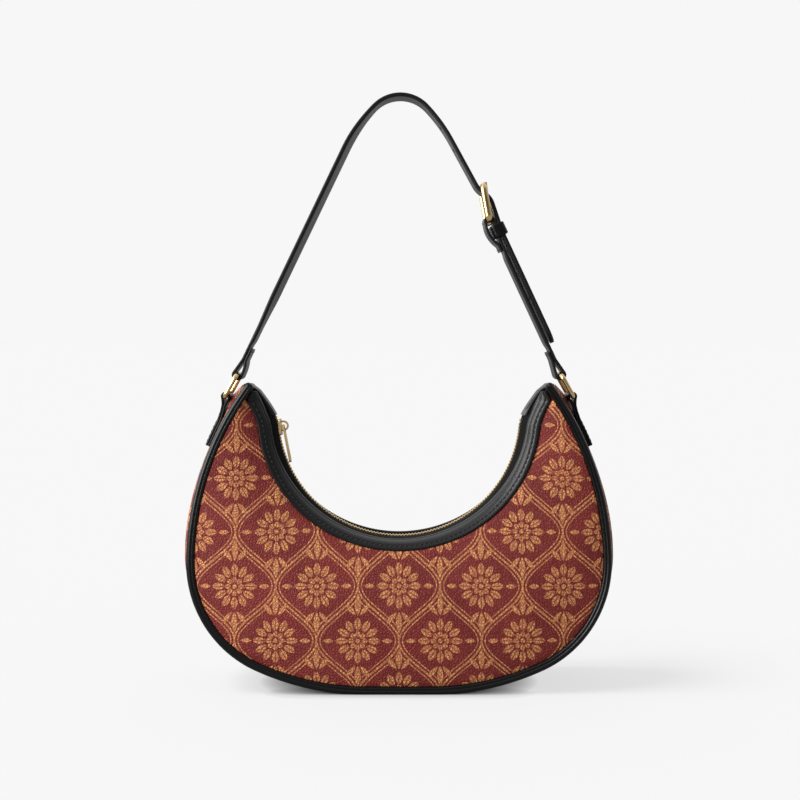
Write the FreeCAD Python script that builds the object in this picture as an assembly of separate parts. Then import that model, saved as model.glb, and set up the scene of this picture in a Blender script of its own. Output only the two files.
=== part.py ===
import FreeCAD, Part
import math
import os
from FreeCAD import Vector

os.makedirs("parts", exist_ok=True)

# Half moon bag in mm: +Z up, the front faces -Y, the origin is the middle of the base on the floor.

# Body outline in the front view: a straight base, then tangent arcs up to each horn tip
BASE_HALF = 20.0
BASE_RADIUS, BASE_TURN = 182.3, 23.86
CORNER_RADIUS = 77.0
SIDE_RADIUS, SIDE_TURN = 196.5, 36.58

# Depth: the front and back edges lean towards each other up to the tips
DEPTH_BASE = 29.0
DEPTH_TIP = 16.0

# Leather and lining
SKIN = 1.6
BAND_SKIN = 1.4
LINING, LINING_REACH = 0.7, 286.0
LAYER_GAP = 0.15
PIPING_RADIUS, CORD_RADIUS, PIPING_SHORT = 2.5, 1.5, 4.0
PANEL_BULGE, PANEL_CHORD, PANEL_REACH = 4.5, 86.0, 297.5
SEAM = 1.2
POCKET_HALF, POCKET_SPAN = 64.0, (0.25, 0.8)

# Gusset crest beyond the outline, at distances from the middle of the base
GUSSET_CREST = [(0.0, 0.6), (50.0, 0.8), (112.0, 3.6), (190.0, 5.7), (268.0, 3.1), (310.0, 3.0)]
GUSSET_END = 305.5
BOARD_HALF, BOARD_WIDTH, BOARD = 58.0, 20.0, 1.4

# Zip: the chain follows one circle, and flares out past FLARE_FROM towards the tips
ZIP_CENTRE = 181.0
ZIP_RADIUS = 83.0
FLARE_FROM, FLARE = 84.0, 0.057
BAND_END, BAND_BOW = 99.5, 1.2
# The band's sizes come in pairs, at the middle of the zip and at its ends
BAND_WIDTH, BAND_TOP_Y, BAND_LOW_Y = (5.3, 11.2), (9.0, 8.0), (21.0, 14.6)
BAND_BELOW, TIP_BELOW = (0.4, 3.3), 1.0
TAPE = 0.5
TOOTH_PITCH, TOOTH, TOOTH_HEIGHT = 2.2, 1.0, 2.2
TOOTH_ROOT, TOOTH_NOSE, TOOTH_SLOT, TOOTH_CLAMP = 2.9, 0.35, 1.1, 1.35
CHAIN_LAST = 85.6
STOP_AT, STOP = 87.0, 2.4
SLIDER_AT = -84.0
SLIDER_LENGTH, SLIDER_WIDTH = 11.0, 9.0
PLATE_TOP, PLATE_LOW, PLATE = 1.5, 1.6, 1.1
BAIL_INNER, BAIL_OUTER, BAIL_WIDTH = 2.3, 3.6, 1.4
PULLER_LENGTH, PULLER_WIDTH, PULLER, PULLER_LIFT = 26.0, 5.0, 1.4, 5.0
TAB_HALF, TAB_FLAT, TAB_DROP, TAB = 6.2, 4.9, 0.5, 1.1
TIP_COVER = [(100.6, 200.6, 9.5), (104.2, 201.2, 11.5)]

# Rings, buckle and strap, as points (x, z) of the bars that run along Y
RING_LOW = (117.0, 193.5)
RING_TOP = (109.0, 208.2)
HEEL = (60.9, 312.0)
FRAME_TOP = (56.6, 336.2)
WIRE = 1.5
RING_WIDTH, FRAME_WIDTH, RING_CORNER = 24.0, 23.0, 3.5
STRAP, STRAP_HALF, LEAF = 2.7, 9.0, 2.0
STRAP_LEAN = 64.4
LOOP_GAP, OPEN_GAP = 0.35, 0.6
FLEX_LOW, FLEX_TOP = 212.8, 231.6
FOLD, FOLD_BELLY, FOLD_END = 17.5, 1.9, 22.0
RING_FOLD, LONG_FOLD_END, SINGLE_END = 11.0, 19.5, 97.3
KEEPER_LOW, KEEPER_HIGH, KEEPER = 3.9, 12.4, 1.3
KEEPER_IN, KEEPER_OUT = -0.15, 7.0
CHAPE_LEAF, CHAPE_HALF = 1.5, 8.0
CHAPE_LOW, CHAPE_HIGH = 259.5, 283.5
PRONG = 1.0
HOLE, HOLE_STEP, TAIL = 1.75, 18.0, 81.4


def smooth(share):
    """Eased 0 to 1."""
    share = min(max(share, 0.0), 1.0)
    return share * share * (3.0 - 2.0 * share)


def mix(first, last, share):
    return first + (last - first) * share


def run(length):
    return length, 0.0


def arc(radius, turn):
    return radius * abs(math.radians(turn)), turn


def advance(x, z, heading, length, turn):
    """The end of a straight run or arc that starts at (x, z); a left turn is positive."""
    start, end = math.radians(heading), math.radians(heading + turn)
    if turn == 0.0:
        return x + length * math.cos(start), z + length * math.sin(start), heading
    radius = length / math.radians(turn)
    x += radius * (math.sin(end) - math.sin(start))
    z -= radius * (math.cos(end) - math.cos(start))
    return x, z, heading + turn


class ArcPath:
    """Straight runs and tangent arcs in the XZ plane, followed by distance from the start."""

    def __init__(self, x, z, heading, runs):
        self.pieces = []
        self.length = 0.0
        for length, turn in runs:
            self.pieces.append((self.length, length, turn, x, z, heading))
            x, z, heading = advance(x, z, heading, length, turn)
            self.length += length

    def at(self, distance):
        piece = [p for p in self.pieces if p[0] <= distance + 1e-9][-1]
        first, length, turn, x, z, heading = piece
        share = (distance - first) / length
        return advance(x, z, heading, distance - first, turn * share)

    def point(self, distance, offset=0.0, y=0.0):
        """A point beside the path; a positive offset is to the left."""
        x, z, heading = self.at(distance)
        h = math.radians(heading)
        return Vector(x - offset * math.sin(h), y, z + offset * math.cos(h))

    def edges(self, offset, start, end):
        found = []
        for first, length, turn, x, z, heading in self.pieces:
            a, b = max(start, first), min(end, first + length)
            if b - a < 1e-6:
                continue
            p, m, q = (self.point(d, offset) for d in (a, (a + b) / 2, b - 1e-9))
            if turn:
                found.append(Part.Arc(p, m, q).toShape())
            else:
                found.append(Part.LineSegment(p, q).toShape())
        return found


def line(a, b):
    return Part.LineSegment(a, b).toShape()


def bow(start, middle, end):
    """The parabola through three points."""
    curve = Part.BezierCurve()
    curve.setPoles([start, middle * 2 - (start + end) * 0.5, end])
    return curve.toShape()


def section(outer, inner):
    """A closed section with two bowed sides and two straight ends."""
    a, m, b = outer
    c, n, d = inner
    return Part.Wire([bow(a, m, b), line(b, d), bow(d, n, c), line(c, a)])


def loft(sections):
    return Part.makeLoft(sections, True, False)


def steps(first, last, count):
    return [mix(first, last, i / count) for i in range(count + 1)]


def across(face, half_width):
    """A face in the XZ plane made as wide as the strap along Y."""
    face.translate(Vector(0, -half_width, 0))
    return face.extrude(Vector(0, 2 * half_width, 0))


def strip(path, start, end, low, high, half_width):
    """A flat strap along a path, between two offsets from it."""
    ends = [line(path.point(d, low), path.point(d, high)) for d in (start, end - 1e-9)]
    loop = Part.__sortEdges__(path.edges(low, start, end) + path.edges(high, start, end) + ends)
    return across(Part.Face(Part.Wire(loop)), half_width)


def slab(z_low, z_high):
    """A block between two heights, larger than the bag."""
    return Part.makeBox(600, 200, z_high - z_low, Vector(-300, -100, z_low))


def mirrored(shape):
    return shape.mirror(Vector(0, 0, 0), Vector(1, 0, 0))


def save(name, shape):
    shape.exportStep("parts/" + name + ".step")


# Body

HALF_RUNS = [arc(BASE_RADIUS, BASE_TURN), arc(CORNER_RADIUS, 90.0 - BASE_TURN), arc(SIDE_RADIUS, SIDE_TURN)]
RIGHT_HALF = ArcPath(0, 0, 0, [run(BASE_HALF)] + HALF_RUNS)
HALF_LENGTH = RIGHT_HALF.length
TIP_X, TIP_Z, TIP_HEADING = RIGHT_HALF.at(HALF_LENGTH)
BODY = ArcPath(-TIP_X, TIP_Z, -TIP_HEADING, HALF_RUNS[::-1] + [run(2 * BASE_HALF)] + HALF_RUNS)
LEAN = math.atan((DEPTH_BASE - DEPTH_TIP) / TIP_Z)


def body_point(s, offset, y=0.0):
    """A point beside the outline, s from the middle of the base; a positive offset is inside."""
    return BODY.point(s + HALF_LENGTH, offset, y)


def half_depth(z):
    return DEPTH_BASE - z * math.tan(LEAN)


def piping_solid(radius, side):
    """A round cord along the outline, leaning with the front or back edge; the back one ends lower."""
    short = PIPING_SHORT if side > 0 else 0.0
    path = Part.Wire(BODY.edges(PIPING_RADIUS, short, BODY.length - short))
    start, heading = BODY.point(short, PIPING_RADIUS), math.radians(BODY.at(short)[2])
    ring = Part.makeCircle(radius, start, Vector(math.cos(heading), 0, math.sin(heading)))
    cord = path.makePipeShell([Part.Wire(ring)], True, False)
    cord.rotate(Vector(0, 0, 0), Vector(1, 0, 0), math.degrees(LEAN) * side)
    cord.translate(Vector(0, side * DEPTH_BASE, 0.01))
    return cord


def crest(s):
    """How far the gusset's middle stands out past the outline."""
    for (a, low), (b, high) in zip(GUSSET_CREST, GUSSET_CREST[1:]):
        if abs(s) <= b:
            return mix(low, high, smooth((abs(s) - a) / (b - a)))
    return GUSSET_CREST[-1][1]


def gusset_half(s):
    return half_depth(body_point(s, PIPING_RADIUS).z) - PIPING_RADIUS - LAYER_GAP


def gusset_row(s, depth, half_width):
    """Three points across the gusset, at a depth under its outer face."""
    bow_in = (SEAM + crest(s)) * (half_width / gusset_half(s)) ** 2
    return [body_point(s, depth - crest(s) + bow_in * abs(k), k * half_width) for k in (-1, 0, 1)]


def gusset_layer(first, last, count, depth, thickness, narrowing=0.0, half_width=None):
    """A layer that follows the gusset, between two distances along the outline."""
    sections = []
    for s in steps(first, last, count):
        half = half_width or gusset_half(s) - narrowing
        top = depth(s) if callable(depth) else depth
        sections.append(section(gusset_row(s, top, half), gusset_row(s, top + thickness, half)))
    return loft(sections)


def lining_depth(s):
    """The lining lies over the base board, and on the gusset beside it."""
    return SKIN + LAYER_GAP + (BOARD + LAYER_GAP) * (1.0 - smooth((abs(s) - BOARD_HALF - 4.0) / 34.0))


# Zip curve and the bands along it, in polar terms: rho from the zip centre, phi from straight down

def polar_point(rho, phi, y):
    a = math.radians(phi)
    return Vector(rho * math.sin(a), y, ZIP_CENTRE - rho * math.cos(a))


def polar(point):
    return math.hypot(point.x, ZIP_CENTRE - point.z), math.degrees(math.atan2(point.x, ZIP_CENTRE - point.z))


def zip_rho(phi):
    return ZIP_RADIUS + FLARE * max(abs(phi) - FLARE_FROM, 0.0) ** 2


def edge_rho(phi, inset):
    """Radius of the line that lies inset inside the outline, where the ray at phi meets it."""
    low, high = 0.0, HALF_LENGTH
    for _ in range(40):
        s = (low + high) / 2
        if polar(body_point(s, inset))[1] < abs(phi):
            low = s
        else:
            high = s
    return polar(body_point(low, inset))[0]


def band_corners(phi):
    """Lower edge, top edge and inward direction of the band's section, as (rho, y) pairs."""
    share = smooth(abs(phi) / 90.0)
    below = mix(mix(*BAND_BELOW, share ** 2), TIP_BELOW, smooth((abs(phi) - 90.0) / (BAND_END - 90.0)))
    top = (zip_rho(phi) + below, mix(*BAND_TOP_Y, share))
    limit = edge_rho(phi, 2 * PIPING_RADIUS + 0.9)
    low = (min(zip_rho(phi) + mix(*BAND_WIDTH, share), limit), mix(*BAND_LOW_Y, share))
    across_rho, across_y = top[0] - low[0], top[1] - low[1]
    length = math.hypot(across_rho, across_y)
    return low, top, (-across_y / length, across_rho / length)


def moved(corner, direction, amount):
    return corner[0] + direction[0] * amount, corner[1] + direction[1] * amount


def band_section(phi, side):
    low, top, inward = band_corners(phi)
    middle = moved(((low[0] + top[0]) / 2, (low[1] + top[1]) / 2), inward, -BAND_BOW)
    rows = []
    for depth in (0.0, BAND_SKIN):
        corners = [moved(c, inward, depth) for c in (low, middle, top)]
        rows.append([polar_point(rho, phi, side * y) for rho, y in corners])
    return section(*rows)


def zip_angles():
    """Places of the sections along the zip, closer together where it flares."""
    bend = FLARE_FROM - 4.0
    tip = steps(bend, BAND_END, 12)
    return [-phi for phi in tip[::-1]] + steps(-bend, bend, 36)[1:-1] + tip


def band(side):
    return loft([band_section(phi, side) for phi in zip_angles()])


def tape_lip(phi):
    """Where the tape tucks under the band's top edge, as (rho, y)."""
    _, top, inward = band_corners(phi)
    return moved(top, inward, BAND_SKIN + 0.3)


def tape_section(phi, side):
    """The tape runs flat beside the teeth, then tucks under the band."""
    low, top, inward = band_corners(phi)
    rho = zip_rho(phi) - TAPE / 2
    lip = tape_lip(phi)
    under = moved((mix(top[0], low[0], 0.6), mix(top[1], low[1], 0.6)), inward, BAND_SKIN + 0.3)
    upper = [(rho, 1.5), (rho, 4.8), lip, under]
    lower = [(r + TAPE, y) for r, y in upper[:2]] + [moved(c, inward, TAPE) for c in upper[2:]]
    corners = [polar_point(r, phi, side * y) for r, y in upper + lower[::-1]]
    return Part.makePolygon(corners + corners[:1])


def tape(side):
    return Part.makeLoft([tape_section(phi, side) for phi in zip_angles()], True, True)


def panel_profile(s):
    """Ray angle, top corner and lower corner of a panel's section at one place along the outline."""
    rho_edge, phi = polar(body_point(s, 2 * PIPING_RADIUS + 2 * LAYER_GAP))
    low, top, inward = band_corners(phi)
    corner = moved(low, inward, BAND_SKIN)
    y_edge = half_depth(body_point(s, 2 * PIPING_RADIUS).z) + SEAM
    return phi, (corner[0] + LAYER_GAP, corner[1]), (rho_edge, y_edge)


def panel_row(s, depth, side, first=0.0, last=1.0):
    """Three points down a panel, at a depth under its outer face."""
    phi, top, edge = panel_profile(s)
    bulge = PANEL_BULGE * (edge[0] - top[0]) / PANEL_CHORD
    row = []
    for t in (first, (first + last) / 2, last):
        y = mix(top[1], edge[1], t) + 4 * bulge * t * (1 - t) - depth
        row.append(polar_point(mix(top[0], edge[0], t), phi, side * y))
    return row


def panel_layer(reach, count, depth, thickness, side, first=0.0, last=1.0):
    sections = []
    for s in steps(-reach, reach, count):
        outer = panel_row(s, depth, side, first, last)
        inner = panel_row(s, depth + thickness, side, first, last)
        sections.append(section(outer, inner))
    return loft(sections)


def body_nodes():
    for name, side in (("front", -1), ("back", 1)):
        cord = piping_solid(CORD_RADIUS, side)
        save(name + "_piping_cord", cord)
        save(name + "_piping", piping_solid(PIPING_RADIUS, side).cut(piping_solid(CORD_RADIUS + 0.05, side)))
        save(name + "_panel", panel_layer(PANEL_REACH, 64, 0.0, SKIN, side))
        save("lining_" + name, panel_layer(LINING_REACH, 64, SKIN + LAYER_GAP, LINING, side))
        save(name + "_zip_band", band(side))
        save("zip_tape_" + name, tape(side))
    gusset = gusset_layer(-GUSSET_END, GUSSET_END, 64, 0.0, SKIN)
    save("gusset", gusset.cut(slab(-10, 0)))
    save("lining_gusset", gusset_layer(-GUSSET_END, GUSSET_END, 64, lining_depth, LINING, 0.9))
    board_depth = SKIN + LAYER_GAP
    save("base_board", gusset_layer(-BOARD_HALF, BOARD_HALF, 12, board_depth, BOARD, half_width=BOARD_WIDTH))
    pocket_depth = SKIN + LINING + 2 * LAYER_GAP
    save("inner_pocket", panel_layer(POCKET_HALF, 16, pocket_depth, LINING, 1, *POCKET_SPAN))


# Zip chain, slider and puller, drawn at the lowest place of the zip and turned to where they sit

def on_chain(shape, phi):
    shape.translate(Vector(0, 0, ZIP_RADIUS - zip_rho(phi)))
    shape.rotate(Vector(0, 0, ZIP_CENTRE), Vector(0, -1, 0), phi)
    return shape


def chain_block(x0, x1, y0, y1, u0, u1):
    """A box beside the chain: x along it, u up from its centre line."""
    return Part.makeBox(x1 - x0, y1 - y0, u1 - u0, Vector(x0, y0, ZIP_CENTRE - ZIP_RADIUS + u0))


def tooth(phi, side, thickness, nose):
    """One tooth clamped on the tape's edge by two legs."""
    half, slot = TOOTH_HEIGHT / 2, TOOTH_SLOT / 2
    profile = [(-nose, -half), (TOOTH_ROOT, -half), (TOOTH_ROOT, -slot), (TOOTH_CLAMP, -slot),
               (TOOTH_CLAMP, slot), (TOOTH_ROOT, slot), (TOOTH_ROOT, half), (-nose, half)]
    base = ZIP_CENTRE - ZIP_RADIUS
    corners = [Vector(-thickness / 2, side * y, base + u) for y, u in profile]
    face = Part.Face(Part.makePolygon(corners + corners[:1]))
    return on_chain(face.extrude(Vector(thickness, 0, 0)), phi)


def teeth(side):
    pitch = math.degrees(TOOTH_PITCH / ZIP_RADIUS)
    first = SLIDER_AT + (0.0 if side < 0 else pitch / 2)
    count = int((CHAIN_LAST - first) / pitch)
    return Part.makeCompound([tooth(first + i * pitch, side, TOOTH, TOOTH_NOSE) for i in range(count + 1)])


def bottom_stop():
    half = TOOTH_HEIGHT / 2
    stop = chain_block(-STOP / 2, STOP / 2, -TOOTH_ROOT, TOOTH_ROOT, -half, half)
    for side in (-1, 1):
        slot = chain_block(-2, 2, TOOTH_CLAMP, 4, -TOOTH_SLOT / 2, TOOTH_SLOT / 2)
        if side < 0:
            slot = slot.mirror(Vector(0, 0, 0), Vector(0, 1, 0))
        stop = stop.cut(slot)
    return on_chain(stop, STOP_AT)


def slider_plate(u0, u1):
    """A shield-shaped plate, wider at the end that parts the teeth."""
    x, wide, narrow = SLIDER_LENGTH / 2, SLIDER_WIDTH / 2, SLIDER_WIDTH / 2 - 0.6
    corners = [(-x, -wide), (x, -narrow), (x, narrow), (-x, wide)]
    level = ZIP_CENTRE - ZIP_RADIUS + u0
    points = [Vector(px, py, level) for px, py in corners]
    plate = Part.Face(Part.makePolygon(points + points[:1])).extrude(Vector(0, 0, u1 - u0))
    upright = [e for e in plate.Edges if abs(e.tangentAt(e.FirstParameter).z) > 0.99]
    return plate.makeFillet(1.6, upright)


BAIL_X = -0.5
BAIL_U = PLATE_TOP + PLATE + 1.35


def bail():
    """The arch that holds the puller: two legs and a half ring round the puller's bar."""
    base = ZIP_CENTRE - ZIP_RADIUS
    rings = []
    for radius in (BAIL_OUTER, BAIL_INNER):
        low, level = base + PLATE_TOP + PLATE / 2, base + BAIL_U
        a, b = Vector(BAIL_X - radius, 0, level), Vector(BAIL_X + radius, 0, level)
        c, d = Vector(BAIL_X + radius, 0, low), Vector(BAIL_X - radius, 0, low)
        top = Part.Arc(a, Vector(BAIL_X, 0, level + radius), b).toShape()
        rings.append(across(Part.Face(Part.Wire([top, line(b, c), line(c, d), line(d, a)])), BAIL_WIDTH / 2))
    return rings[0].cut(rings[1])


def slider():
    top = slider_plate(PLATE_TOP, PLATE_TOP + PLATE)
    low = slider_plate(-PLATE_LOW - PLATE, -PLATE_LOW)
    half = SLIDER_LENGTH / 2
    divider = chain_block(-half + 0.3, -1.6, -0.9, 0.9, -PLATE_LOW - PLATE / 2, PLATE_TOP + PLATE / 2)
    body = top.fuse([low, divider, bail()])
    for side in (-1, 1):
        y0, y1 = sorted((side * 3.4, side * 3.9))
        upper = chain_block(-half + 1.6, half - 1.6, y0, y1, 0.95, PLATE_TOP + PLATE / 2)
        lower = chain_block(-half + 1.6, half - 1.6, y0, y1, -PLATE_LOW - PLATE / 2, -0.85)
        body = body.fuse([upper, lower])
    return on_chain(body.removeSplitter(), SLIDER_AT)


def puller():
    """A flat bar with an eye for the bail, a slot near its far end and rounded ends."""
    centre = Vector(BAIL_X, 0, ZIP_CENTRE - ZIP_RADIUS + BAIL_U)
    half = PULLER / 2
    bar = Part.makeBox(PULLER_LENGTH, PULLER_WIDTH, PULLER, centre + Vector(-0.7, -PULLER_WIDTH / 2, -half))
    bar = bar.makeFillet(2.2, [e for e in bar.Edges if abs(e.tangentAt(e.FirstParameter).z) > 0.99])
    eye = Part.makeBox(3.7, 2.3, 4, centre + Vector(0.9, -1.15, -2))
    slot = Part.makeBox(6.0, 1.8, 4, centre + Vector(PULLER_LENGTH - 9.0, -0.9, -2))
    slot = slot.makeFillet(0.85, [e for e in slot.Edges if abs(e.tangentAt(e.FirstParameter).z) > 0.99])
    pin = Part.makeCylinder(0.9, 3.6, centre + Vector(0, -1.8, 0), Vector(0, 1, 0))
    bar = bar.cut(eye).cut(slot).fuse(pin).removeSplitter()
    bar.rotate(centre, Vector(0, -1, 0), PULLER_LIFT)
    return on_chain(bar, SLIDER_AT)


def tab_section(base, up, half, drop):
    """The tab's section: flat in the middle, its sides bent down."""
    under = [(half, -drop), (TAB_FLAT, 0.0), (-TAB_FLAT, 0.0), (-half, -drop)]
    over = [(y, lift + TAB) for y, lift in under[::-1]]
    corners = [base + up * lift + Vector(0, y, 0) for y, lift in under + over]
    return Part.makePolygon(corners + corners[:1])


def end_tab():
    """The leather tab over the right end of the zip, which widens over the horn's tip."""
    sections = []
    for phi in steps(89.8, BAND_END + 0.4, 8):
        base = polar_point(zip_rho(phi) - TAPE / 2 - LAYER_GAP, phi, 0)
        up = (Vector(0, 0, ZIP_CENTRE) - base).normalize()
        drop = TAB_DROP * (tape_lip(phi)[0] - zip_rho(phi))
        sections.append(tab_section(base, up, TAB_HALF, drop))
    for x, z, half in TIP_COVER:
        sections.append(tab_section(Vector(x, 0, z), Vector(-0.3, 0, 0.95), half, 0.0))
    return Part.makeLoft(sections, True, True)


def zip_nodes():
    for name, side in (("front", -1), ("back", 1)):
        save("zip_teeth_" + name, teeth(side))
    stops = [tooth(SLIDER_AT - 4.7, side, 1.2, -0.4) for side in (-1, 1)]
    save("zip_top_stops", Part.makeCompound(stops))
    save("zip_bottom_stop", bottom_stop())
    save("zip_slider", slider())
    save("zip_puller", puller())
    save("zip_end_tab_right", end_tab())
    save("zip_end_tab_left", mirrored(end_tab()))


# Rings, chapes, strap and buckle

def heading_between(a, b):
    return math.degrees(math.atan2(b[1] - a[1], b[0] - a[0]))


def wire_frame(low, top, width):
    """A round-cornered oblong ring of wire; its two bars run along Y through low and top."""
    length, half, c = math.dist(low, top), width / 2, RING_CORNER
    k = c * (1 - math.sqrt(0.5))
    sides = []
    for sx, sy in ((1, 1), (-1, 1), (-1, -1), (1, -1)):
        ex, ey = sx * length / 2, sy * half
        bend = [Vector(ex, ey - sy * c, 0), Vector(ex - sx * k, ey - sy * k, 0), Vector(ex - sx * c, ey, 0)]
        sides.append(bend if sx * sy > 0 else bend[::-1])
    edges = []
    for this, after in zip(sides, sides[1:] + sides[:1]):
        edges += [Part.Arc(*this).toShape(), line(this[2], after[0])]
    path = Part.Wire(edges)
    disc = Part.makeCircle(WIRE, sides[0][0], Vector(0, 1, 0))
    frame = path.makePipeShell([Part.Wire(disc)], True, False)
    frame.rotate(Vector(0, 0, 0), Vector(0, -1, 0), heading_between(low, top))
    frame.translate(Vector((low[0] + top[0]) / 2, 0, (low[1] + top[1]) / 2))
    return frame


def tangent(radius, along, side):
    """Where the line from (along, side) touches the circle about the origin, on that side."""
    angle = math.atan2(side, along) + math.copysign(math.acos(radius / math.hypot(along, side)), side)
    return radius * math.cos(angle), radius * math.sin(angle)


def loop(centre, heading, reach, gap, leaf, half_width, belly=0.0):
    """Leather folded round a bar. Its leaves meet at a distance along the heading; the right one may bow."""
    h = math.radians(heading)

    def place(along, offset):
        x = centre[0] + along * math.cos(h) - offset * math.sin(h)
        return Vector(x, 0, centre[1] + along * math.sin(h) + offset * math.cos(h))

    prisms = []
    for radius, end, half in ((WIRE + gap + leaf, reach, leaf), (WIRE + gap, reach - 1.0, 0.02)):
        upper, lower = tangent(radius, end, half), tangent(radius, end, -half)
        turn = Part.Arc(place(*upper), place(-radius, 0), place(*lower)).toShape()
        middle = place((lower[0] + end) / 2, (lower[1] - half) / 2 - belly)
        legs = [bow(place(*lower), middle, place(end, -half)), line(place(end, -half), place(end, half)),
                line(place(end, half), place(*upper))]
        prisms.append(across(Part.Face(Part.Wire([turn] + legs)), half_width))
    return prisms[0].cut(prisms[1])


def chape(gap):
    """The right chape: two leaves sewn on the gusset and folded round the ring's lower bar."""
    seat = -2 * CHAPE_LEAF - 0.1
    tab = gusset_layer(CHAPE_LOW, CHAPE_HIGH + 3.0, 8, seat, 2 * CHAPE_LEAF, half_width=CHAPE_HALF)
    root = body_point(CHAPE_HIGH, -crest(CHAPE_HIGH) - CHAPE_LEAF - 0.1)
    reach = math.dist(RING_LOW, (root.x, root.z))
    fold = loop(RING_LOW, heading_between(RING_LOW, (root.x, root.z)), reach, gap, CHAPE_LEAF, CHAPE_HALF)
    return tab.fuse(fold).removeSplitter()


LEFT_TOP = (-RING_TOP[0], RING_TOP[1])
LEFT_LOW = (-RING_LOW[0], RING_LOW[1])
STRAP_SHIFT = LEAF - STRAP / 2
SHORT_HEADING = heading_between(HEEL, RING_TOP)
SHORT_LENGTH = math.dist(HEEL, RING_TOP)
LEFT_AXIS = ArcPath(LEFT_TOP[0], LEFT_TOP[1], STRAP_LEAN, [run(60.0)])
SHORT_AXIS = ArcPath(HEEL[0], HEEL[1], SHORT_HEADING, [run(SHORT_LENGTH)])
STRAP_START = LEFT_AXIS.point(0, STRAP_SHIFT)
SETTLE = SHORT_HEADING + 71.4
STRAP_PATH = ArcPath(STRAP_START.x, STRAP_START.z, STRAP_LEAN, [
    run(169.5), arc(110.0, -18.0), arc(24.5, -92.8), arc(110.0, -15.0),
    run(34.0), arc(12.0, 23.0), run(5.0), arc(13.0, -33.0), run(18.0), arc(30.0, SETTLE), run(TAIL)])
TAIL_START = STRAP_PATH.length - TAIL


def prong_shape(radius, turn=0.0):
    """The prong's bar from the heel bar to the far bar of the buckle frame."""
    along = Vector(FRAME_TOP[0] - HEEL[0], 0, FRAME_TOP[1] - HEEL[1]).normalize()
    out = Vector(along.z, 0, -along.x)
    heel, far = Vector(HEEL[0], 0, HEEL[1]), Vector(FRAME_TOP[0], 0, FRAME_TOP[1])
    start, end = heel + out * 1.7, far + out * (WIRE + PRONG + 0.3) + along * 2.5
    bar = Part.makeCylinder(radius, (end - start).Length, start, end - start)
    bar.rotate(heel, Vector(0, 1, 0), turn)
    return bar


def prong():
    heel = Vector(HEEL[0], -2.0, HEEL[1])
    collar = Part.makeCylinder(WIRE + 1.3, 4.0, heel, Vector(0, 1, 0))
    bore = Part.makeCylinder(WIRE + 0.3, 4.0, heel, Vector(0, 1, 0))
    return prong_shape(PRONG).fuse(collar).cut(bore).removeSplitter()


def tail_corners():
    """What is cut away to round the strap's free end."""
    end = STRAP_PATH.length
    block = strip(STRAP_PATH, end - STRAP_HALF, end, -STRAP, STRAP, STRAP_HALF + 1)
    centre = STRAP_PATH.point(end - STRAP_HALF)
    face = STRAP_PATH.point(end - STRAP_HALF, 1.0) - centre
    return block.cut(Part.makeCylinder(STRAP_HALF, 4 * STRAP, centre - face * 2 * STRAP, face))


def strap_hole(distance):
    start, end = STRAP_PATH.point(distance, -STRAP), STRAP_PATH.point(distance, STRAP)
    return Part.makeCylinder(HOLE, (end - start).Length, start, end - start)


def strap_long():
    band_solid = strip(STRAP_PATH, 0, STRAP_PATH.length, -STRAP / 2, STRAP / 2, STRAP_HALF)
    cuts = [tail_corners(), slab(150, FLEX_TOP + 0.1)]
    cuts += [prong_shape(PRONG + 0.45, turn) for turn in (0.0, 3.0, 6.0)]
    cuts += [strap_hole(TAIL_START + 12.0 + i * HOLE_STEP) for i in range(3)]
    cuts += [strap_hole(TAIL_START - 66.0 - i * HOLE_STEP) for i in range(2)]
    return band_solid.cut(cuts)


def left_end():
    """The long strap's lower end, folded round the left ring and sewn back on its inner side."""
    fold = loop(LEFT_TOP, STRAP_LEAN, RING_FOLD, LOOP_GAP, LEAF, STRAP_HALF)
    doubled = strip(LEFT_AXIS, RING_FOLD - 0.1, LONG_FOLD_END, -LEAF, LEAF, STRAP_HALF)
    single = strip(LEFT_AXIS, LONG_FOLD_END - 0.1, 40.0, LEAF - STRAP, LEAF, STRAP_HALF)
    return fold.fuse([doubled, single]).removeSplitter()


def short_strap():
    """The short strap, folded round the buckle's heel bar above and the right ring below."""
    far = SHORT_LENGTH
    heel_fold = loop(HEEL, SHORT_HEADING, FOLD, LOOP_GAP, LEAF, STRAP_HALF, FOLD_BELLY)
    ring_fold = loop(RING_TOP, SHORT_HEADING + 180.0, RING_FOLD, LOOP_GAP, LEAF, STRAP_HALF)
    pieces = [strip(SHORT_AXIS, FOLD - 0.1, FOLD_END, -LEAF, LEAF, STRAP_HALF),
              strip(SHORT_AXIS, FOLD_END - 0.1, SINGLE_END, LEAF - STRAP, LEAF, STRAP_HALF),
              strip(SHORT_AXIS, SINGLE_END - 0.1, far - RING_FOLD + 0.1, -LEAF, LEAF, STRAP_HALF), ring_fold]
    whole = heel_fold.fuse(pieces).removeSplitter()
    prong_slot = strip(ArcPath(HEEL[0], HEEL[1], SHORT_HEADING + 180, [run(6.0)]), 0, 6.0, -6.0, 6.0, 2.4)
    prong_room = strip(SHORT_AXIS, 0, 5.0, -6.0, 6.0, 2.4)
    return whole.cut([prong_slot, prong_room])


def keeper():
    """A leather box loop held in the short strap's fold, round its outer leaf and the strap's free end."""
    room = STRAP_HALF + 0.4
    outer = strip(SHORT_AXIS, KEEPER_LOW, KEEPER_HIGH, KEEPER_IN - KEEPER, KEEPER_OUT + KEEPER, room + KEEPER)
    inner = strip(SHORT_AXIS, KEEPER_LOW - 1, KEEPER_HIGH + 1, KEEPER_IN, KEEPER_OUT, room)
    along = SHORT_AXIS.point(1.0) - SHORT_AXIS.point(0.0)
    long_edges = [e for e in outer.Edges if abs(e.tangentAt(e.FirstParameter).dot(along)) > 0.99]
    return outer.makeFillet(1.2, long_edges).cut(inner)


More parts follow.
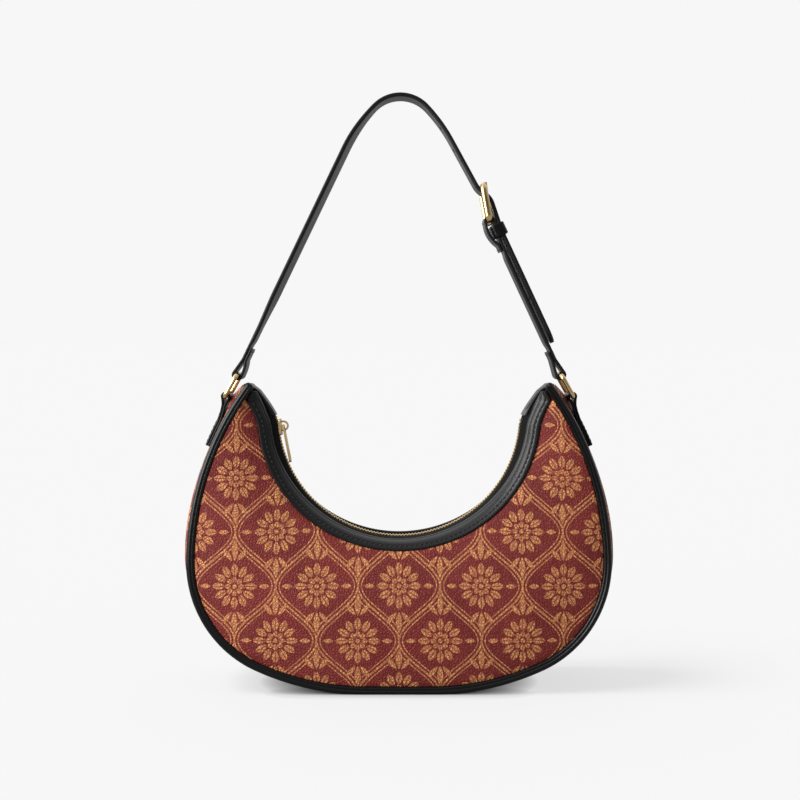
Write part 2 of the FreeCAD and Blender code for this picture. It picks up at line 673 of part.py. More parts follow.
def strap_nodes():
    save("chape_right", chape(OPEN_GAP))
    save("chape_left", mirrored(chape(LOOP_GAP)))
    save("ring_right", wire_frame(RING_LOW, RING_TOP, RING_WIDTH))
    save("ring_left", wire_frame(LEFT_LOW, LEFT_TOP, RING_WIDTH))
    save("buckle_frame", wire_frame(HEEL, FRAME_TOP, FRAME_WIDTH))
    save("buckle_prong", prong())
    save("strap_long", strap_long())
    end = left_end()
    save("strap_long_end", end.common(slab(150, FLEX_LOW - 0.1)))
    save("strap_long_flex", end.common(slab(FLEX_LOW, FLEX_TOP)))
    short = short_strap()
    save("strap_short", short.common(slab(FLEX_TOP + 0.1, 400)))
    save("strap_short_flex", short.common(slab(FLEX_LOW, FLEX_TOP)))
    save("strap_short_end", short.common(slab(150, FLEX_LOW - 0.1)))
    save("strap_keeper", keeper())


body_nodes()
zip_nodes()
strap_nodes()
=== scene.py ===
import math
from functools import partialmethod

import bmesh
import bpy
from mathutils import Matrix, Vector, noise


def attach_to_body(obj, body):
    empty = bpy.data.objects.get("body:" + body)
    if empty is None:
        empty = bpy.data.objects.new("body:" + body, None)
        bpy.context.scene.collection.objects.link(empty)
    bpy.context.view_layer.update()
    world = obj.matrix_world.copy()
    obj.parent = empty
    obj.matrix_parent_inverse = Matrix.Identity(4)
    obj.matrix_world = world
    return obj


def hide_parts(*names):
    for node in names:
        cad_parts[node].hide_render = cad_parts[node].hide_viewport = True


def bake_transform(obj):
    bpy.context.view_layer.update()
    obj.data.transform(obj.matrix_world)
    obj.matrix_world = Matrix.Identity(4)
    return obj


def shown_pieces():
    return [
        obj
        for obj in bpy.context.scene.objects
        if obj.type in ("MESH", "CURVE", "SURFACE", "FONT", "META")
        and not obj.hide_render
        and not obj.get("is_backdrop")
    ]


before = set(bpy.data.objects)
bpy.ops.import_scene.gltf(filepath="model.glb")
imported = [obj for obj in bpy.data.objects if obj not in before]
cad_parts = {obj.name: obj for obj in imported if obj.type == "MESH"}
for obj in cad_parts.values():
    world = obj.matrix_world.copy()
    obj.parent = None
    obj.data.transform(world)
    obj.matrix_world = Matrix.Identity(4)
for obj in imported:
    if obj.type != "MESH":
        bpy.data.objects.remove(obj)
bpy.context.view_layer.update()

# Half moon bag. Shapes are worked out in mm, in the frame's own axes, and become metres as meshes are made.
MM = 0.001

# Body outline in the front view, and its depth
BASE_HALF = 20.0
BASE_RADIUS, BASE_TURN = 182.3, 23.86
CORNER_RADIUS = 77.0
SIDE_RADIUS, SIDE_TURN = 196.5, 36.58
DEPTH_BASE, DEPTH_TIP = 29.0, 16.0

# Leather pieces of the body. The crest is given as (distance from the base's middle, height), the panels'
# unevenness as (height, size, layer of the noise), and their tucked edge as (outwards, back).
SKIN, BAND_SKIN, LINING, LAYER_GAP = 1.6, 1.4, 0.7, 0.15
PIPING_RADIUS, WELT_RADIUS, WELT_OUT = 2.5, 2.95, 0.55
PIPING_DENT, PIPING_SEAM, PIPING_SEAM_WIDTH = 0.26, 1.3, 0.25
PIPING_PAST, PIPING_CAP = {"front": 1.2, "back": -1.8}, 2.0
PIPING_UNEVEN, PIPING_WAVE = 0.025, 5.0
PANEL_BULGE, PANEL_CHORD, PANEL_REACH = 4.5, 86.0, 303.0
UNEVEN = [(0.5, 44.0, 2.3), (0.22, 15.0, 7.1)]
PANEL_UNDER, PANEL_TUCK = (3.0, 1.0), [(0.77, 0.56), (1.19, 1.54)]
SEAM = 1.2
GUSSET_CREST = [(0.0, 0.6), (50.0, 0.8), (112.0, 3.6), (190.0, 5.7),
                (268.0, 3.1), (283.5, 3.1), (294.0, 5.0), (310.0, 3.0)]
GUSSET_END, GUSSET_TUCK = 305.5, 1.3
BOARD_HALF, BOARD, BOARD_SPARE, BOARD_EASE = 58.0, 1.4, 4.0, 34.0
LINING_NARROW, LINING_REACH, POCKET_REACH, POCKET_ROWS = 0.9, 286.0, 64.0, (10, 27)

# Zip curve, bands and end tabs. A pair is a size at the zip's middle and at its sides.
ZIP_CENTRE, ZIP_RADIUS = 181.0, 83.0
FLARE_FROM, FLARE = 84.0, 0.057
BAND_END, BAND_BOW, BAND_CLEAR = 99.5, 1.7, 0.9
BAND_BELOW, TIP_BELOW = (0.4, 3.3), 1.0
BAND_DEEP, BAND_TOP_Y, BAND_LOW_Y = (5.3, 11.2), (9.0, 8.0), (21.0, 14.6)
BAND_ROLL, BAND_ROLL_WIDTH, ROLL_EASE, BACK_LIP, BACK_LIP_END = 0.45, 2.6, 0.8, 1.5, 75.0
STITCH_INSET, STITCH_GROOVE, GROOVE_WIDTH, STITCH_LIFT = 3.0, 0.3, 0.7, 0.12
TAPE, TAPE_PLACES = 0.5, (1.5, 3.1, 4.8)
TAB_START, TAB_HALF, TAB_FLAT, TAB_DROP, TAB = 89.8, 6.2, 4.9, 0.5, 1.1
TIP_COVER, TIP_UP = [(100.6, 200.6, 9.5), (104.2, 201.2, 11.5)], (-0.3, 0.0, 0.95)

# Rings, buckle and strap, as points (x, z) of the bars that run along Y
RING_LOW, RING_TOP = (117.0, 193.5), (109.0, 208.2)
HEEL, FRAME_TOP = (60.9, 312.0), (56.6, 336.2)
WIRE, RING_CORNER = 1.5, 3.5
RING_WIDTH, RING_SIDE, FRAME_WIDE, FRAME_SIDE = 24.0, 1.6, 23.0, 2.2
STRAP, STRAP_HALF, LEAF = 2.7, 9.0, 2.0
STRAP_LEAN, STRAP_TILT, FLAT = 64.4, 1.0, (0.0, 0.0)
TILT_START, TILT_IN, TILT_END, TILT_OUT = 32.0, 30.0, 210.0, 40.0
LOOP_GAP = 0.35
FLEX_LOW, FLEX_TOP = 212.8, 231.6
FOLD, FOLD_BELLY, FOLD_END, RING_FOLD = 17.5, 1.9, 22.0, 11.0
LONG_FOLD_END, SHORT_FOLD_START, EASE = 19.5, 97.3, 7.0
KEEPER_LOW, KEEPER_HIGH, KEEPER = 3.9, 12.4, 1.3
KEEPER_IN, KEEPER_OUT, KEEPER_ROOM, KEEPER_ROUND = -0.15, 7.0, 0.4, 1.9
CHAPE_LEAF, CHAPE_HALF, CHAPE_GAP, CHAPE_PINCH = 1.5, 8.0, 0.1, 0.8
CHAPE_LOW, CHAPE_HIGH, CHAPE_EASE = 259.5, 283.5, 7.0
HOLE, HOLE_STEP, FREE_HOLE, UPPER_HOLE, TAIL, TAIL_POINT = 1.75, 18.0, 12.0, 66.0, 81.4, 2.2
PRONG_HEEL, PRONG_TIP, PRONG_PAST = 1.7, 2.8, 2.5

# Stitches, and the turn in degrees from which an edge stays sharp
STITCH, STITCH_PITCH, THREAD = 2.3, 3.2, 0.34
SHARP_TURN = 48.0


def smooth(share):
    """Eased 0 to 1."""
    share = min(max(share, 0.0), 1.0)
    return share * share * (3.0 - 2.0 * share)


def mix(first, last, share):
    return first + (last - first) * share


def steps(first, last, count):
    return [mix(first, last, i / count) for i in range(count + 1)]


def run(length):
    return length, 0.0


def arc(radius, turn):
    return radius * abs(math.radians(turn)), turn


def advance(x, z, heading, length, turn):
    """The end of a straight run or arc that starts at (x, z); a left turn is positive."""
    start, end = math.radians(heading), math.radians(heading + turn)
    if turn == 0.0:
        return x + length * math.cos(start), z + length * math.sin(start), heading
    radius = length / math.radians(turn)
    x += radius * (math.sin(end) - math.sin(start))
    z -= radius * (math.cos(end) - math.cos(start))
    return x, z, heading + turn


class ArcPath:
    """Straight runs and tangent arcs in the XZ plane, followed by distance from the start."""

    def __init__(self, x, z, heading, runs):
        self.pieces = []
        self.length = 0.0
        for length, turn in runs:
            self.pieces.append((self.length, length, turn, x, z, heading))
            x, z, heading = advance(x, z, heading, length, turn)
            self.length += length

    def at(self, distance):
        reached = [p for p in self.pieces if p[0] <= distance + 1e-9] or self.pieces[:1]
        first, length, turn, x, z, heading = reached[-1]
        share = (distance - first) / length
        return advance(x, z, heading, distance - first, turn * share)

    def point(self, distance, offset=0.0, y=0.0):
        """A point beside the path; a positive offset is to the left."""
        x, z, heading = self.at(distance)
        h = math.radians(heading)
        return Vector((x - offset * math.sin(h), y, z + offset * math.cos(h)))


# Body formulas

HALF_RUNS = [arc(BASE_RADIUS, BASE_TURN), arc(CORNER_RADIUS, 90.0 - BASE_TURN), arc(SIDE_RADIUS, SIDE_TURN)]
RIGHT_HALF = ArcPath(0, 0, 0, [run(BASE_HALF)] + HALF_RUNS)
HALF_LENGTH = RIGHT_HALF.length
TIP_X, TIP_Z, TIP_HEADING = RIGHT_HALF.at(HALF_LENGTH)
BODY = ArcPath(-TIP_X, TIP_Z, -TIP_HEADING, HALF_RUNS[::-1] + [run(2 * BASE_HALF)] + HALF_RUNS)
LEAN = math.atan((DEPTH_BASE - DEPTH_TIP) / TIP_Z)


def body_point(s, offset, y=0.0):
    """A point beside the outline, s from the middle of the base; a positive offset is inside."""
    return BODY.point(s + HALF_LENGTH, offset, y)


def half_depth(z):
    return DEPTH_BASE - z * math.tan(LEAN)


def crest(s):
    """How far the gusset's middle stands out past the outline."""
    for (a, low), (b, high) in zip(GUSSET_CREST, GUSSET_CREST[1:]):
        if abs(s) <= b:
            return mix(low, high, smooth((abs(s) - a) / (b - a)))
    return GUSSET_CREST[-1][1]


def gusset_half(s):
    return half_depth(body_point(s, PIPING_RADIUS).z) - PIPING_RADIUS - LAYER_GAP


def gusset_drop(s, y):
    """How far the gusset's face lies inside its crest, away from the middle."""
    return (SEAM + crest(s)) * (y / gusset_half(s)) ** 2


# Zip formulas, in polar terms: rho from the zip's centre, phi from straight down

def polar_point(rho, phi, y):
    a = math.radians(phi)
    return Vector((rho * math.sin(a), y, ZIP_CENTRE - rho * math.cos(a)))


def polar(point):
    return math.hypot(point.x, ZIP_CENTRE - point.z), math.degrees(math.atan2(point.x, ZIP_CENTRE - point.z))


def zip_rho(phi):
    return ZIP_RADIUS + FLARE * max(abs(phi) - FLARE_FROM, 0.0) ** 2


def edge_rho(phi, inset):
    """Radius of the line that lies inset inside the outline, where the ray at phi meets it."""
    low, high = 0.0, HALF_LENGTH
    for _ in range(30):
        s = (low + high) / 2
        if polar(body_point(s, inset))[1] < abs(phi):
            low = s
        else:
            high = s
    return polar(body_point(low, inset))[0]


def band_corners(phi):
    """Lower edge and top edge of the band's section, its upward and its inward direction, as (rho, y)."""
    share = smooth(abs(phi) / 90.0)
    below = mix(mix(*BAND_BELOW, share ** 2), TIP_BELOW, smooth((abs(phi) - 90.0) / (BAND_END - 90.0)))
    top = (zip_rho(phi) + below, mix(*BAND_TOP_Y, share))
    limit = edge_rho(phi, 2 * PIPING_RADIUS + BAND_CLEAR)
    low = (min(zip_rho(phi) + mix(*BAND_DEEP, share), limit), mix(*BAND_LOW_Y, share))
    width = math.dist(low, top)
    up = ((top[0] - low[0]) / width, (top[1] - low[1]) / width)
    return low, top, up, (-up[1], up[0])


def moved(corner, direction, amount):
    return corner[0] + direction[0] * amount, corner[1] + direction[1] * amount


def tape_lip(phi):
    """Where the tape tucks under the band's top edge, as (rho, y)."""
    _, top, _, inward = band_corners(phi)
    return moved(top, inward, BAND_SKIN + 2 * LAYER_GAP)


def zip_angles():
    """Places along the zip, closer together where it flares."""
    bend = FLARE_FROM - 4.0
    tip = steps(bend, BAND_END, 20)
    return [-phi for phi in tip[::-1]] + steps(-bend, bend, 110)[1:-1] + tip


# Mesh helpers

def lengths(points):
    """Distance along a chain of points, from its start to each of them."""
    total, found = 0.0, [0.0]
    for a, b in zip(points, points[1:]):
        total += (b - a).length
        found.append(total)
    return found


def loft_object(name, loops, looks, print_side=None, closed=False, mirror=False):
    """A mesh through closed loops of points. Its map named surface is in mm: along and around the loops, or,
    for a printed piece, as print_side says. A second look is for the ends and a strip's rounded edges."""
    n = len(loops[0])
    painted = edge_strips(n // 2) if len(looks) > 1 else ()
    if mirror:
        loops = [[Vector((-p.x, p.y, p.z)) for p in loop] for loop in loops]
    around = lengths(loops[len(loops) // 2] + loops[len(loops) // 2][:1])
    along = lengths([sum(loop, Vector()) / n for loop in loops])
    points = [p * MM for loop in loops for p in loop]
    faces, corners, kinds = [], [], []

    def add(spots, kind):
        faces.append([(i % len(loops)) * n + j % n for i, j in spots])
        corners.extend(spots)
        kinds.append(kind)

    last = len(looks) - 1
    for i in range(len(loops) if closed else len(loops) - 1):
        for j in range(n):
            add([(i, j), (i + 1, j), (i + 1, j + 1), (i, j + 1)], last if j in painted else 0)
    if not closed:
        for i in (0, len(loops) - 1):
            for j in range(n // 2 - 1):
                add([(i, j), (i, j + 1), (i, n - 2 - j), (i, n - 1 - j)], last)
    mesh = bpy.data.meshes.new(name)
    mesh.from_pydata(points, [], faces)
    layer = mesh.uv_layers.new(name="surface")
    if print_side:
        flat = [print_side(i % len(loops), loops[i % len(loops)][j % n]) for i, j in corners]
    else:
        step = along[-1] / max(len(loops) - 1, 1)
        flat = [(along[i] if i < len(loops) else along[-1] + step, around[j]) for i, j in corners]
    layer.uv.foreach_set("vector", [c for uv in flat for c in uv])
    mesh.polygons.foreach_set("material_index", kinds)
    for look in looks:
        mesh.materials.append(look)
    return finished(name, mesh)


def finished(name, mesh):
    """An object of the mesh, with its faces turned outwards and shaded smooth except at sharp edges."""
    whole = bmesh.new()
    whole.from_mesh(mesh)
    bmesh.ops.recalc_face_normals(whole, faces=whole.faces)
    whole.to_mesh(mesh)
    whole.free()
    mesh.polygons.foreach_set("use_smooth", [True] * len(mesh.polygons))
    mesh.set_sharp_from_angle(angle=math.radians(SHARP_TURN))
    piece = bpy.data.objects.new(name, mesh)
    bpy.context.scene.collection.objects.link(piece)
    return piece


def oval(centre, first, second, sides):
    """Points round a centre, on an oval with those two half axes."""
    angles = [2 * math.pi * k / sides for k in range(sides)]
    return [centre + first * math.cos(a) + second * math.sin(a) for a in angles]


def thickness_rows(width, half_thick, inner=6):
    """Places across a strip from 0 to width, and its half thickness there, with rounded edges."""
    radius = 0.75 * half_thick
    edge = [0.0, 0.13 * radius, 0.4 * radius, radius]
    places = edge + steps(radius, width - radius, inner)[1:-1] + [width - d for d in edge[::-1]]
    rows = []
    for place in places:
        d = min(place, width - place, radius)
        rows.append((place, half_thick - radius + math.sqrt(radius ** 2 - (radius - d) ** 2)))
    return rows


def edge_strips(count):
    """Numbers of the loft strips on the rounded edges, where each face of the strip has count points."""
    return set(range(3)) | set(range(count - 4, count + 3)) | set(range(2 * count - 4, 2 * count))


def ribbon(name, route, looks, mirror=False):
    """A flat strip of leather that follows a route in the XZ plane. Each stop of the route is
    (x, z, half thickness, half width, (tilt, cup)). The tilt turns the strip's far edge to its left,
    and the cup bends both edges that way."""
    spots = [Vector((stop[0], 0, stop[1])) for stop in route]
    loops = []
    for i, (_, _, half_thick, half_width, (tilt, cup)) in enumerate(route):
        ahead = spots[min(i + 1, len(spots) - 1)] - spots[max(i - 1, 0)]
        left = Vector((-ahead.z, 0, ahead.x)).normalized()
        upper, lower = [], []
        for place, half in thickness_rows(2 * half_width, half_thick):
            share = place / half_width - 1.0
            middle = spots[i] + Vector((0, share * half_width, 0)) + left * (tilt * share + cup * share ** 2)
            upper.append(middle + left * half)
            lower.append(middle - left * half)
        loops.append(upper + lower[::-1])
    return loft_object(name, loops, looks, mirror=mirror)


def stitch_object(name, stitches, look):
    """One mesh of thread stitches. Each stitch is (start, end, outward direction) on the leather's face."""
    rings = [(-1.0, 0.45, -0.3), (-0.72, 0.9, 0.0), (0.0, 1.0, 0.14), (0.72, 0.9, 0.0), (1.0, 0.45, -0.3)]
    sides = 6
    points, faces = [], []
    for start, end, out in stitches:
        middle, half = (start + end) / 2, (end - start) / 2
        beside = half.cross(out).normalized()
        first = len(points)
        for share, size, lift in rings:
            centre = middle + half * share + out * lift
            radius = THREAD * size
            points += [p * MM for p in oval(centre, beside * radius, out * radius, sides)]
        for i in range(len(rings) - 1):
            for k in range(sides):
                a, b = first + i * sides, first + (i + 1) * sides
                faces.append([a + k, a + (k + 1) % sides, b + (k + 1) % sides, b + k])
        faces.append([first + k for k in range(sides)])
        faces.append([first + (len(rings) - 1) * sides + k for k in range(sides)])
    mesh = bpy.data.meshes.new(name)
    mesh.from_pydata(points, [], faces)
    mesh.materials.append(look)
    return finished(name, mesh)


def row_of_stitches(place, first, last):
    """Stitches along a line on the leather, where place(d) gives the point and the outward direction."""
    count = max(int((last - first) / STITCH_PITCH), 1)
    pitch = (last - first) / count
    found = []
    for i in range(count):
        d = first + (i + 0.5) * pitch
        start, out = place(d - STITCH / 2)
        end, _ = place(d + STITCH / 2)
        found.append((start, end, out))
    return found


def cut(piece, cutters):
    """Cuts closed meshes out of a piece, and leaves no modifier on it."""
    for cutter in cutters:
        change = piece.modifiers.new("cut", "BOOLEAN")
        change.operation = "DIFFERENCE"
        change.solver = "EXACT"
        change.object = cutter
    bpy.context.view_layer.update()
    shaped = piece.evaluated_get(bpy.context.evaluated_depsgraph_get())
    mesh = bpy.data.meshes.new_from_object(shaped)
    piece.modifiers.clear()
    piece.data = mesh
    for cutter in cutters:
        bpy.data.objects.remove(cutter)


def peg(start, end, radius):
    """A round cutter between two points in mm."""
    axis = end - start
    side = axis.cross(Vector((0, 1, 0))).normalized()
    over = axis.cross(side).normalized()
    loops = [oval(centre, side * radius, over * radius, 20) for centre in (start, end)]
    return loft_object("cutter", loops, [])


# Materials

def feed(socket, value):
    """Links a field to a shader socket, or sets the socket to a number or a colour."""
    if isinstance(value, Field):
        value.tree.links.new(value.socket, socket)
    else:
        socket.default_value = value


class Field:
    """A number that varies over a surface: the output of shader nodes, with arithmetic."""

    def __init__(self, tree, socket):
        self.tree = tree
        self.socket = socket

    def apply(self, operation, *others, clamp=False):
        node = self.tree.nodes.new("ShaderNodeMath")
        node.operation = operation
        node.use_clamp = clamp
        for socket, value in zip(node.inputs, (self, *others)):
            feed(socket, value)
        return Field(self.tree, node.outputs[0])

    __add__ = partialmethod(apply, "ADD")
    __sub__ = partialmethod(apply, "SUBTRACT")
    __mul__ = partialmethod(apply, "MULTIPLY")
    __truediv__ = partialmethod(apply, "DIVIDE")
    __abs__ = partialmethod(apply, "ABSOLUTE")
    sine = partialmethod(apply, "SINE")
    cosine = partialmethod(apply, "COSINE")
    larger = partialmethod(apply, "MAXIMUM")

    def wrapped(self, period):
        """The signed distance to the nearest multiple of the period."""
        return self - (self / period).apply("ROUND") * period

    def inside(self, softness=0.35):
        """1 where this signed distance in mm is negative, 0 outside, soft between."""
        return (self * (-1.0 / softness) + 0.5).apply("MULTIPLY", 1.0, clamp=True)

    def between(self, low, high):
        """0 below low and 1 above high, eased."""
        node = self.tree.nodes.new("ShaderNodeMapRange")
        node.interpolation_type = "SMOOTHSTEP"
        for name, value in (("Value", self), ("From Min", low), ("From Max", high)):
            feed(node.inputs[name], value)
        return Field(self.tree, node.outputs["Result"])

    def scaled(self, low, high):
        """This number from 0 to 1 stretched to low and high."""
        return self * (high - low) + low


class Look:
    """A material in the making, with the sockets of its shader."""

    def __init__(self, name):
        self.material = bpy.data.materials.new(name)
        self.material.use_nodes = True
        self.tree = self.material.node_tree
        self.shader = self.tree.nodes["Principled BSDF"]

    def put(self, **values):
        """Sets sockets of the shader, named with underscores, to numbers, colours or fields."""
        for name, value in values.items():
            feed(self.shader.inputs[name.replace("_", " ")], value)

    def node(self, kind, coordinates=None, **inputs):
        made = self.tree.nodes.new("ShaderNode" + kind)
        if coordinates:
            self.tree.links.new(coordinates, made.inputs["Vector"])
        for name, value in inputs.items():
            made.inputs[name].default_value = value
        return made

    def surface(self):
        """The piece's own coordinates in mm, along its surface."""
        node = self.tree.nodes.new("ShaderNodeUVMap")
        node.uv_map = "surface"
        return node.outputs["UV"]

    def solid(self):
        """The piece's coordinates in mm, for one without a map of its surface."""
        place = self.tree.nodes.new("ShaderNodeTexCoord")
        scale = self.tree.nodes.new("ShaderNodeVectorMath")
        scale.operation = "SCALE"
        scale.inputs["Scale"].default_value = 1.0 / MM
        self.tree.links.new(place.outputs["Object"], scale.inputs[0])
        return scale.outputs[0]

    def axes(self, coordinates):
        """The coordinates' first two numbers, as fields."""
        node = self.tree.nodes.new("ShaderNodeSeparateXYZ")
        self.tree.links.new(coordinates, node.inputs[0])
        return [Field(self.tree, node.outputs[k]) for k in (0, 1)]

    def noise(self, coordinates, size, detail=2.0):
        """Cloudy variation from 0 to 1, with patches of about that size in mm."""
        node = self.node("TexNoise", coordinates, Scale=1.0 / size, Detail=detail)
        return Field(self.tree, node.outputs["Fac"])

    def pebbles(self, coordinates, size):
        """Leather grain: rounded cells of about that size in mm, 0 in the creases and 1 on top."""
        warp = self.node("TexNoise", coordinates, Scale=0.7 / size, Detail=1.0)
        shift = self.tree.nodes.new("ShaderNodeVectorMath")
        shift.operation = "MULTIPLY_ADD"
        self.tree.links.new(warp.outputs["Color"], shift.inputs[0])
        shift.inputs[1].default_value = (size, size, size)
        self.tree.links.new(coordinates, shift.inputs[2])
        cells = self.node("TexVoronoi", shift.outputs[0], Scale=1.0 / size, Randomness=0.9)
        cells.feature = "DISTANCE_TO_EDGE"
        return Field(self.tree, cells.outputs["Distance"]).between(0.0, 0.32)

    def bump(self, height, depth, strength=1.0):
        """Raises the surface by up to depth, in mm."""
        node = self.node("Bump", Distance=depth * MM, Strength=strength)
        feed(node.inputs["Height"], height)
        self.tree.links.new(node.outputs["Normal"], self.shader.inputs["Normal"])

    def mixed(self, share, first, last):
        """A colour between two, each given as three numbers or as a field."""
        node = self.node("Mix")
        node.data_type = "RGBA"
        feed(node.inputs[0], share)
        for socket, colour in ((node.inputs[6], first), (node.inputs[7], last)):
            feed(socket, (*colour, 1.0) if isinstance(colour, tuple) else colour)
        return Field(self.tree, node.outputs[2])


# The print: a trellis of ogee frames with a rosette in each, in mm
FRAME_WIDTH, FRAME_HEIGHT = 54.0, 70.0
FRAME_LINE, INNER_LINE, INNER_GAP = 0.6, 0.36, 2.3

# Petals as (count, first radius, last radius, half width), and the half width of their veins
OUTER_PETALS, OUTER_VEIN = (12, 6.3, 15.0, 2.2), 0.25
SMALL_PETALS, SMALL_VEIN = (8, 2.2, 6.6, 1.55), 0.18
ROSETTE_DOT = 1.5

# Leaves in one quarter of a frame, as (x, y, tilt, half length, half width)
LEAVES = [(0.0, 23.2, 0.0, 6.8, 2.0), (4.7, 20.2, 40.0, 4.8, 1.5), (19.4, 0.0, 90.0, 3.4, 1.5)]


def petals(radius, angle, count, first, last, half_width):
    """Signed distance to a ring of pointed petals, and the distance from their middle lines."""
    turn = angle.wrapped(2 * math.pi / count)
    along, aside = radius * turn.cosine(), abs(radius * turn.sine())
    share = (along - (first + last) / 2) / ((last - first) / 2)
    return aside + (share * share - 1.0) * half_width, aside


def leaf(u, v, x, y, tilt, half_length, half_width):
    """Signed distance to a pointed leaf with its middle at (x, y), tilted from upright."""
    c, s = math.cos(math.radians(tilt)), math.sin(math.radians(tilt))
    du, dv = u - x, v - y
    along, aside = du * s + dv * c, abs(du * c - dv * s)
    share = along / half_length
    return aside + (share * share - 1.0) * half_width


def print_cover(look, coordinates):
    """How much of the ground the print covers, from 0 to 1."""
    u, v = look.axes(coordinates)
    a_u, a_v = u.wrapped(FRAME_WIDTH), v.wrapped(FRAME_HEIGHT)
    b_u, b_v = (u + FRAME_WIDTH / 2).wrapped(FRAME_WIDTH), (v + FRAME_HEIGHT / 2).wrapped(FRAME_HEIGHT)
    wave = (a_v * (2 * math.pi / FRAME_HEIGHT)).cosine()
    border = (wave + 1.0) * (FRAME_WIDTH / 4) - abs(a_u)
    outside = border.apply("LESS_THAN", 0.0)
    p_u, p_v = a_u + (b_u - a_u) * outside, a_v + (b_v - a_v) * outside
    rise = (a_v * (2 * math.pi / FRAME_HEIGHT)).sine() * (math.pi * FRAME_WIDTH / (2 * FRAME_HEIGHT))
    gap = abs(border) / (rise * rise + 1.0).apply("SQRT")
    cover = (gap - FRAME_LINE).inside().larger((abs(gap - INNER_GAP) - INNER_LINE).inside())
    radius, angle = (p_u * p_u + p_v * p_v).apply("SQRT"), p_v.apply("ARCTAN2", p_u)
    for sizes, vein in ((OUTER_PETALS, OUTER_VEIN), (SMALL_PETALS, SMALL_VEIN)):
        petal, aside = petals(radius, angle, *sizes)
        cover = cover.larger(petal.inside() * (aside - vein).inside().scaled(1.0, 0.0))
    cover = cover.larger((radius - ROSETTE_DOT).inside())
    side_u, side_v = abs(p_u), abs(p_v)
    for sizes in LEAVES:
        cover = cover.larger(leaf(side_u, side_v, *sizes).inside())
    return cover


GROUND, GROUND_DEEP = (0.235, 0.028, 0.02), (0.165, 0.015, 0.012)
OCHRE, OCHRE_DEEP = (0.68, 0.29, 0.108), (0.52, 0.195, 0.073)


def printed_leather():
    look = Look("printed_leather")
    place = look.surface()
    grain = look.pebbles(place, 1.9)
    fine = look.noise(place, 0.3)
    patches = look.noise(place, 34.0)
    mottle = look.noise(place, 1.1, 4.0)
    worn = (mottle * 0.75 + grain * 0.25).between(0.2, 0.52).scaled(0.45, 1.0)
    cover = print_cover(look, place) * worn
    ground = look.mixed(patches.between(0.3, 0.7) * 0.6 + mottle * 0.4, GROUND_DEEP, GROUND)
    ochre = look.mixed(mottle.between(0.25, 0.75), OCHRE_DEEP, OCHRE)
    colour = look.mixed(cover, ground, ochre)
    # Painted shade: the grain's creases are darkened towards near black.
    shaded = look.mixed(grain.scaled(0.45, 0.0), colour, (0.03, 0.006, 0.006))
    rough = (fine * 0.5 + grain * 0.5).scaled(0.62, 0.46)
    look.put(Base_Color=shaded, Roughness=rough, Specular_IOR_Level=0.25)
    look.bump(grain * 0.85 + fine * 0.15, 0.34)
    return look.material


def black_leather(name, tone, grain_size, rough, gloss=0.3):
    """Dyed leather of one tone, with fine grain, faint patches, rubbed patchy roughness and painted shade in
    the grain's creases.
    """
    look = Look(name)
    place = look.surface()
    grain = look.pebbles(place, grain_size)
    fine = look.noise(place, 0.25)
    patches = look.noise(place, 18.0)
    dark, light = tuple(c * 0.6 for c in tone), tuple(c * 1.5 for c in tone)
    # Random tone patches, with painted shade darkening the grain's creases.
    colour = look.mixed(patches * 0.6 + grain * 0.4, dark, light)
    rubbed = (patches * 0.5 + fine * 0.5).scaled(rough + 0.08, rough - 0.08)
    look.put(Base_Color=colour, Roughness=rubbed, Specular_IOR_Level=gloss)
    look.bump(grain * 0.7 + fine * 0.3, 0.07, 0.6)
    return look.material


def mottled(name, size, detail, dark, light, rough, gloss=0.5, bump=None, on_surface=False):
    """A plain finish that varies in patches of that size in mm. Its roughness and its bump are pairs."""
    look = Look(name)
    patches = look.noise(look.surface() if on_surface else look.solid(), size, detail)
    colour = look.mixed(patches, dark, light)
    look.put(Base_Color=colour, Roughness=patches.scaled(*rough), Specular_IOR_Level=gloss)
    if bump:
        look.bump(patches, *bump)
    return look.material


def gold_metal(name, low, high):
    """Pale gold plating, with a roughness from low to high."""
    look = Look(name)
    place = look.solid()
    cloud = look.noise(place, 6.0)
    scratch = look.noise(place, 0.25, 3.0)
    colour = look.mixed(cloud, (0.66, 0.46, 0.2), (0.8, 0.6, 0.32))
    look.put(Base_Color=colour, Metallic=1.0, Roughness=(cloud * 0.8 + scratch * 0.2).scaled(low, high))
    look.bump(cloud, 0.02, 0.2)
    return look.material


def woven(name, tone, thread, on_surface=True):
    """Cloth of crossed threads of that width in mm."""
    look = Look(name)
    place = look.surface() if on_surface else look.solid()
    u, v = look.axes(place)
    across = (u * (math.pi / thread)).sine()
    down = (v * (math.pi / thread)).sine()
    weave = abs(across * down)
    colour = look.mixed(weave, tuple(c * 0.55 for c in tone), tone)
    look.put(Base_Color=colour, Roughness=weave.scaled(0.9, 0.75), Specular_IOR_Level=0.2)
    look.bump(weave, 0.12, 0.8)
    return look.material


PRINTED = printed_leather()
BLACK = black_leather("black_leather", (0.0045, 0.0043, 0.0045), 1.2, 0.33)
PIPING_LOOK = black_leather("piping_leather", (0.0022, 0.0021, 0.0022), 0.8, 0.27, 0.25)
STRAP_FACE = black_leather("strap_leather", (0.006, 0.0058, 0.006), 0.9, 0.36)
EDGE = mottled("edge_paint", 1.4, 3.0, (0.003, 0.003, 0.0032), (0.007, 0.0068, 0.007),
               rough=(0.34, 0.5), gloss=0.2, bump=(0.03, 0.2), on_surface=True)
GOLD = gold_metal("gold_metal", 0.1, 0.26)
ZIP_GOLD = gold_metal("zip_metal", 0.28, 0.44)
TAPE_LOOK = woven("zip_tape", (0.007, 0.0068, 0.007), 0.5)
LINING_LOOK = woven("lining_cloth", (0.06, 0.05, 0.045), 0.4)
CORD_LOOK = woven("piping_core", (0.5, 0.46, 0.4), 0.6, on_surface=False)
THREAD_LOOK = mottled("thread", 0.4, 2.0, (0.004, 0.004, 0.0045), (0.012, 0.012, 0.0125),
                      rough=(0.5, 0.65), gloss=0.3, bump=(0.04, 0.5))
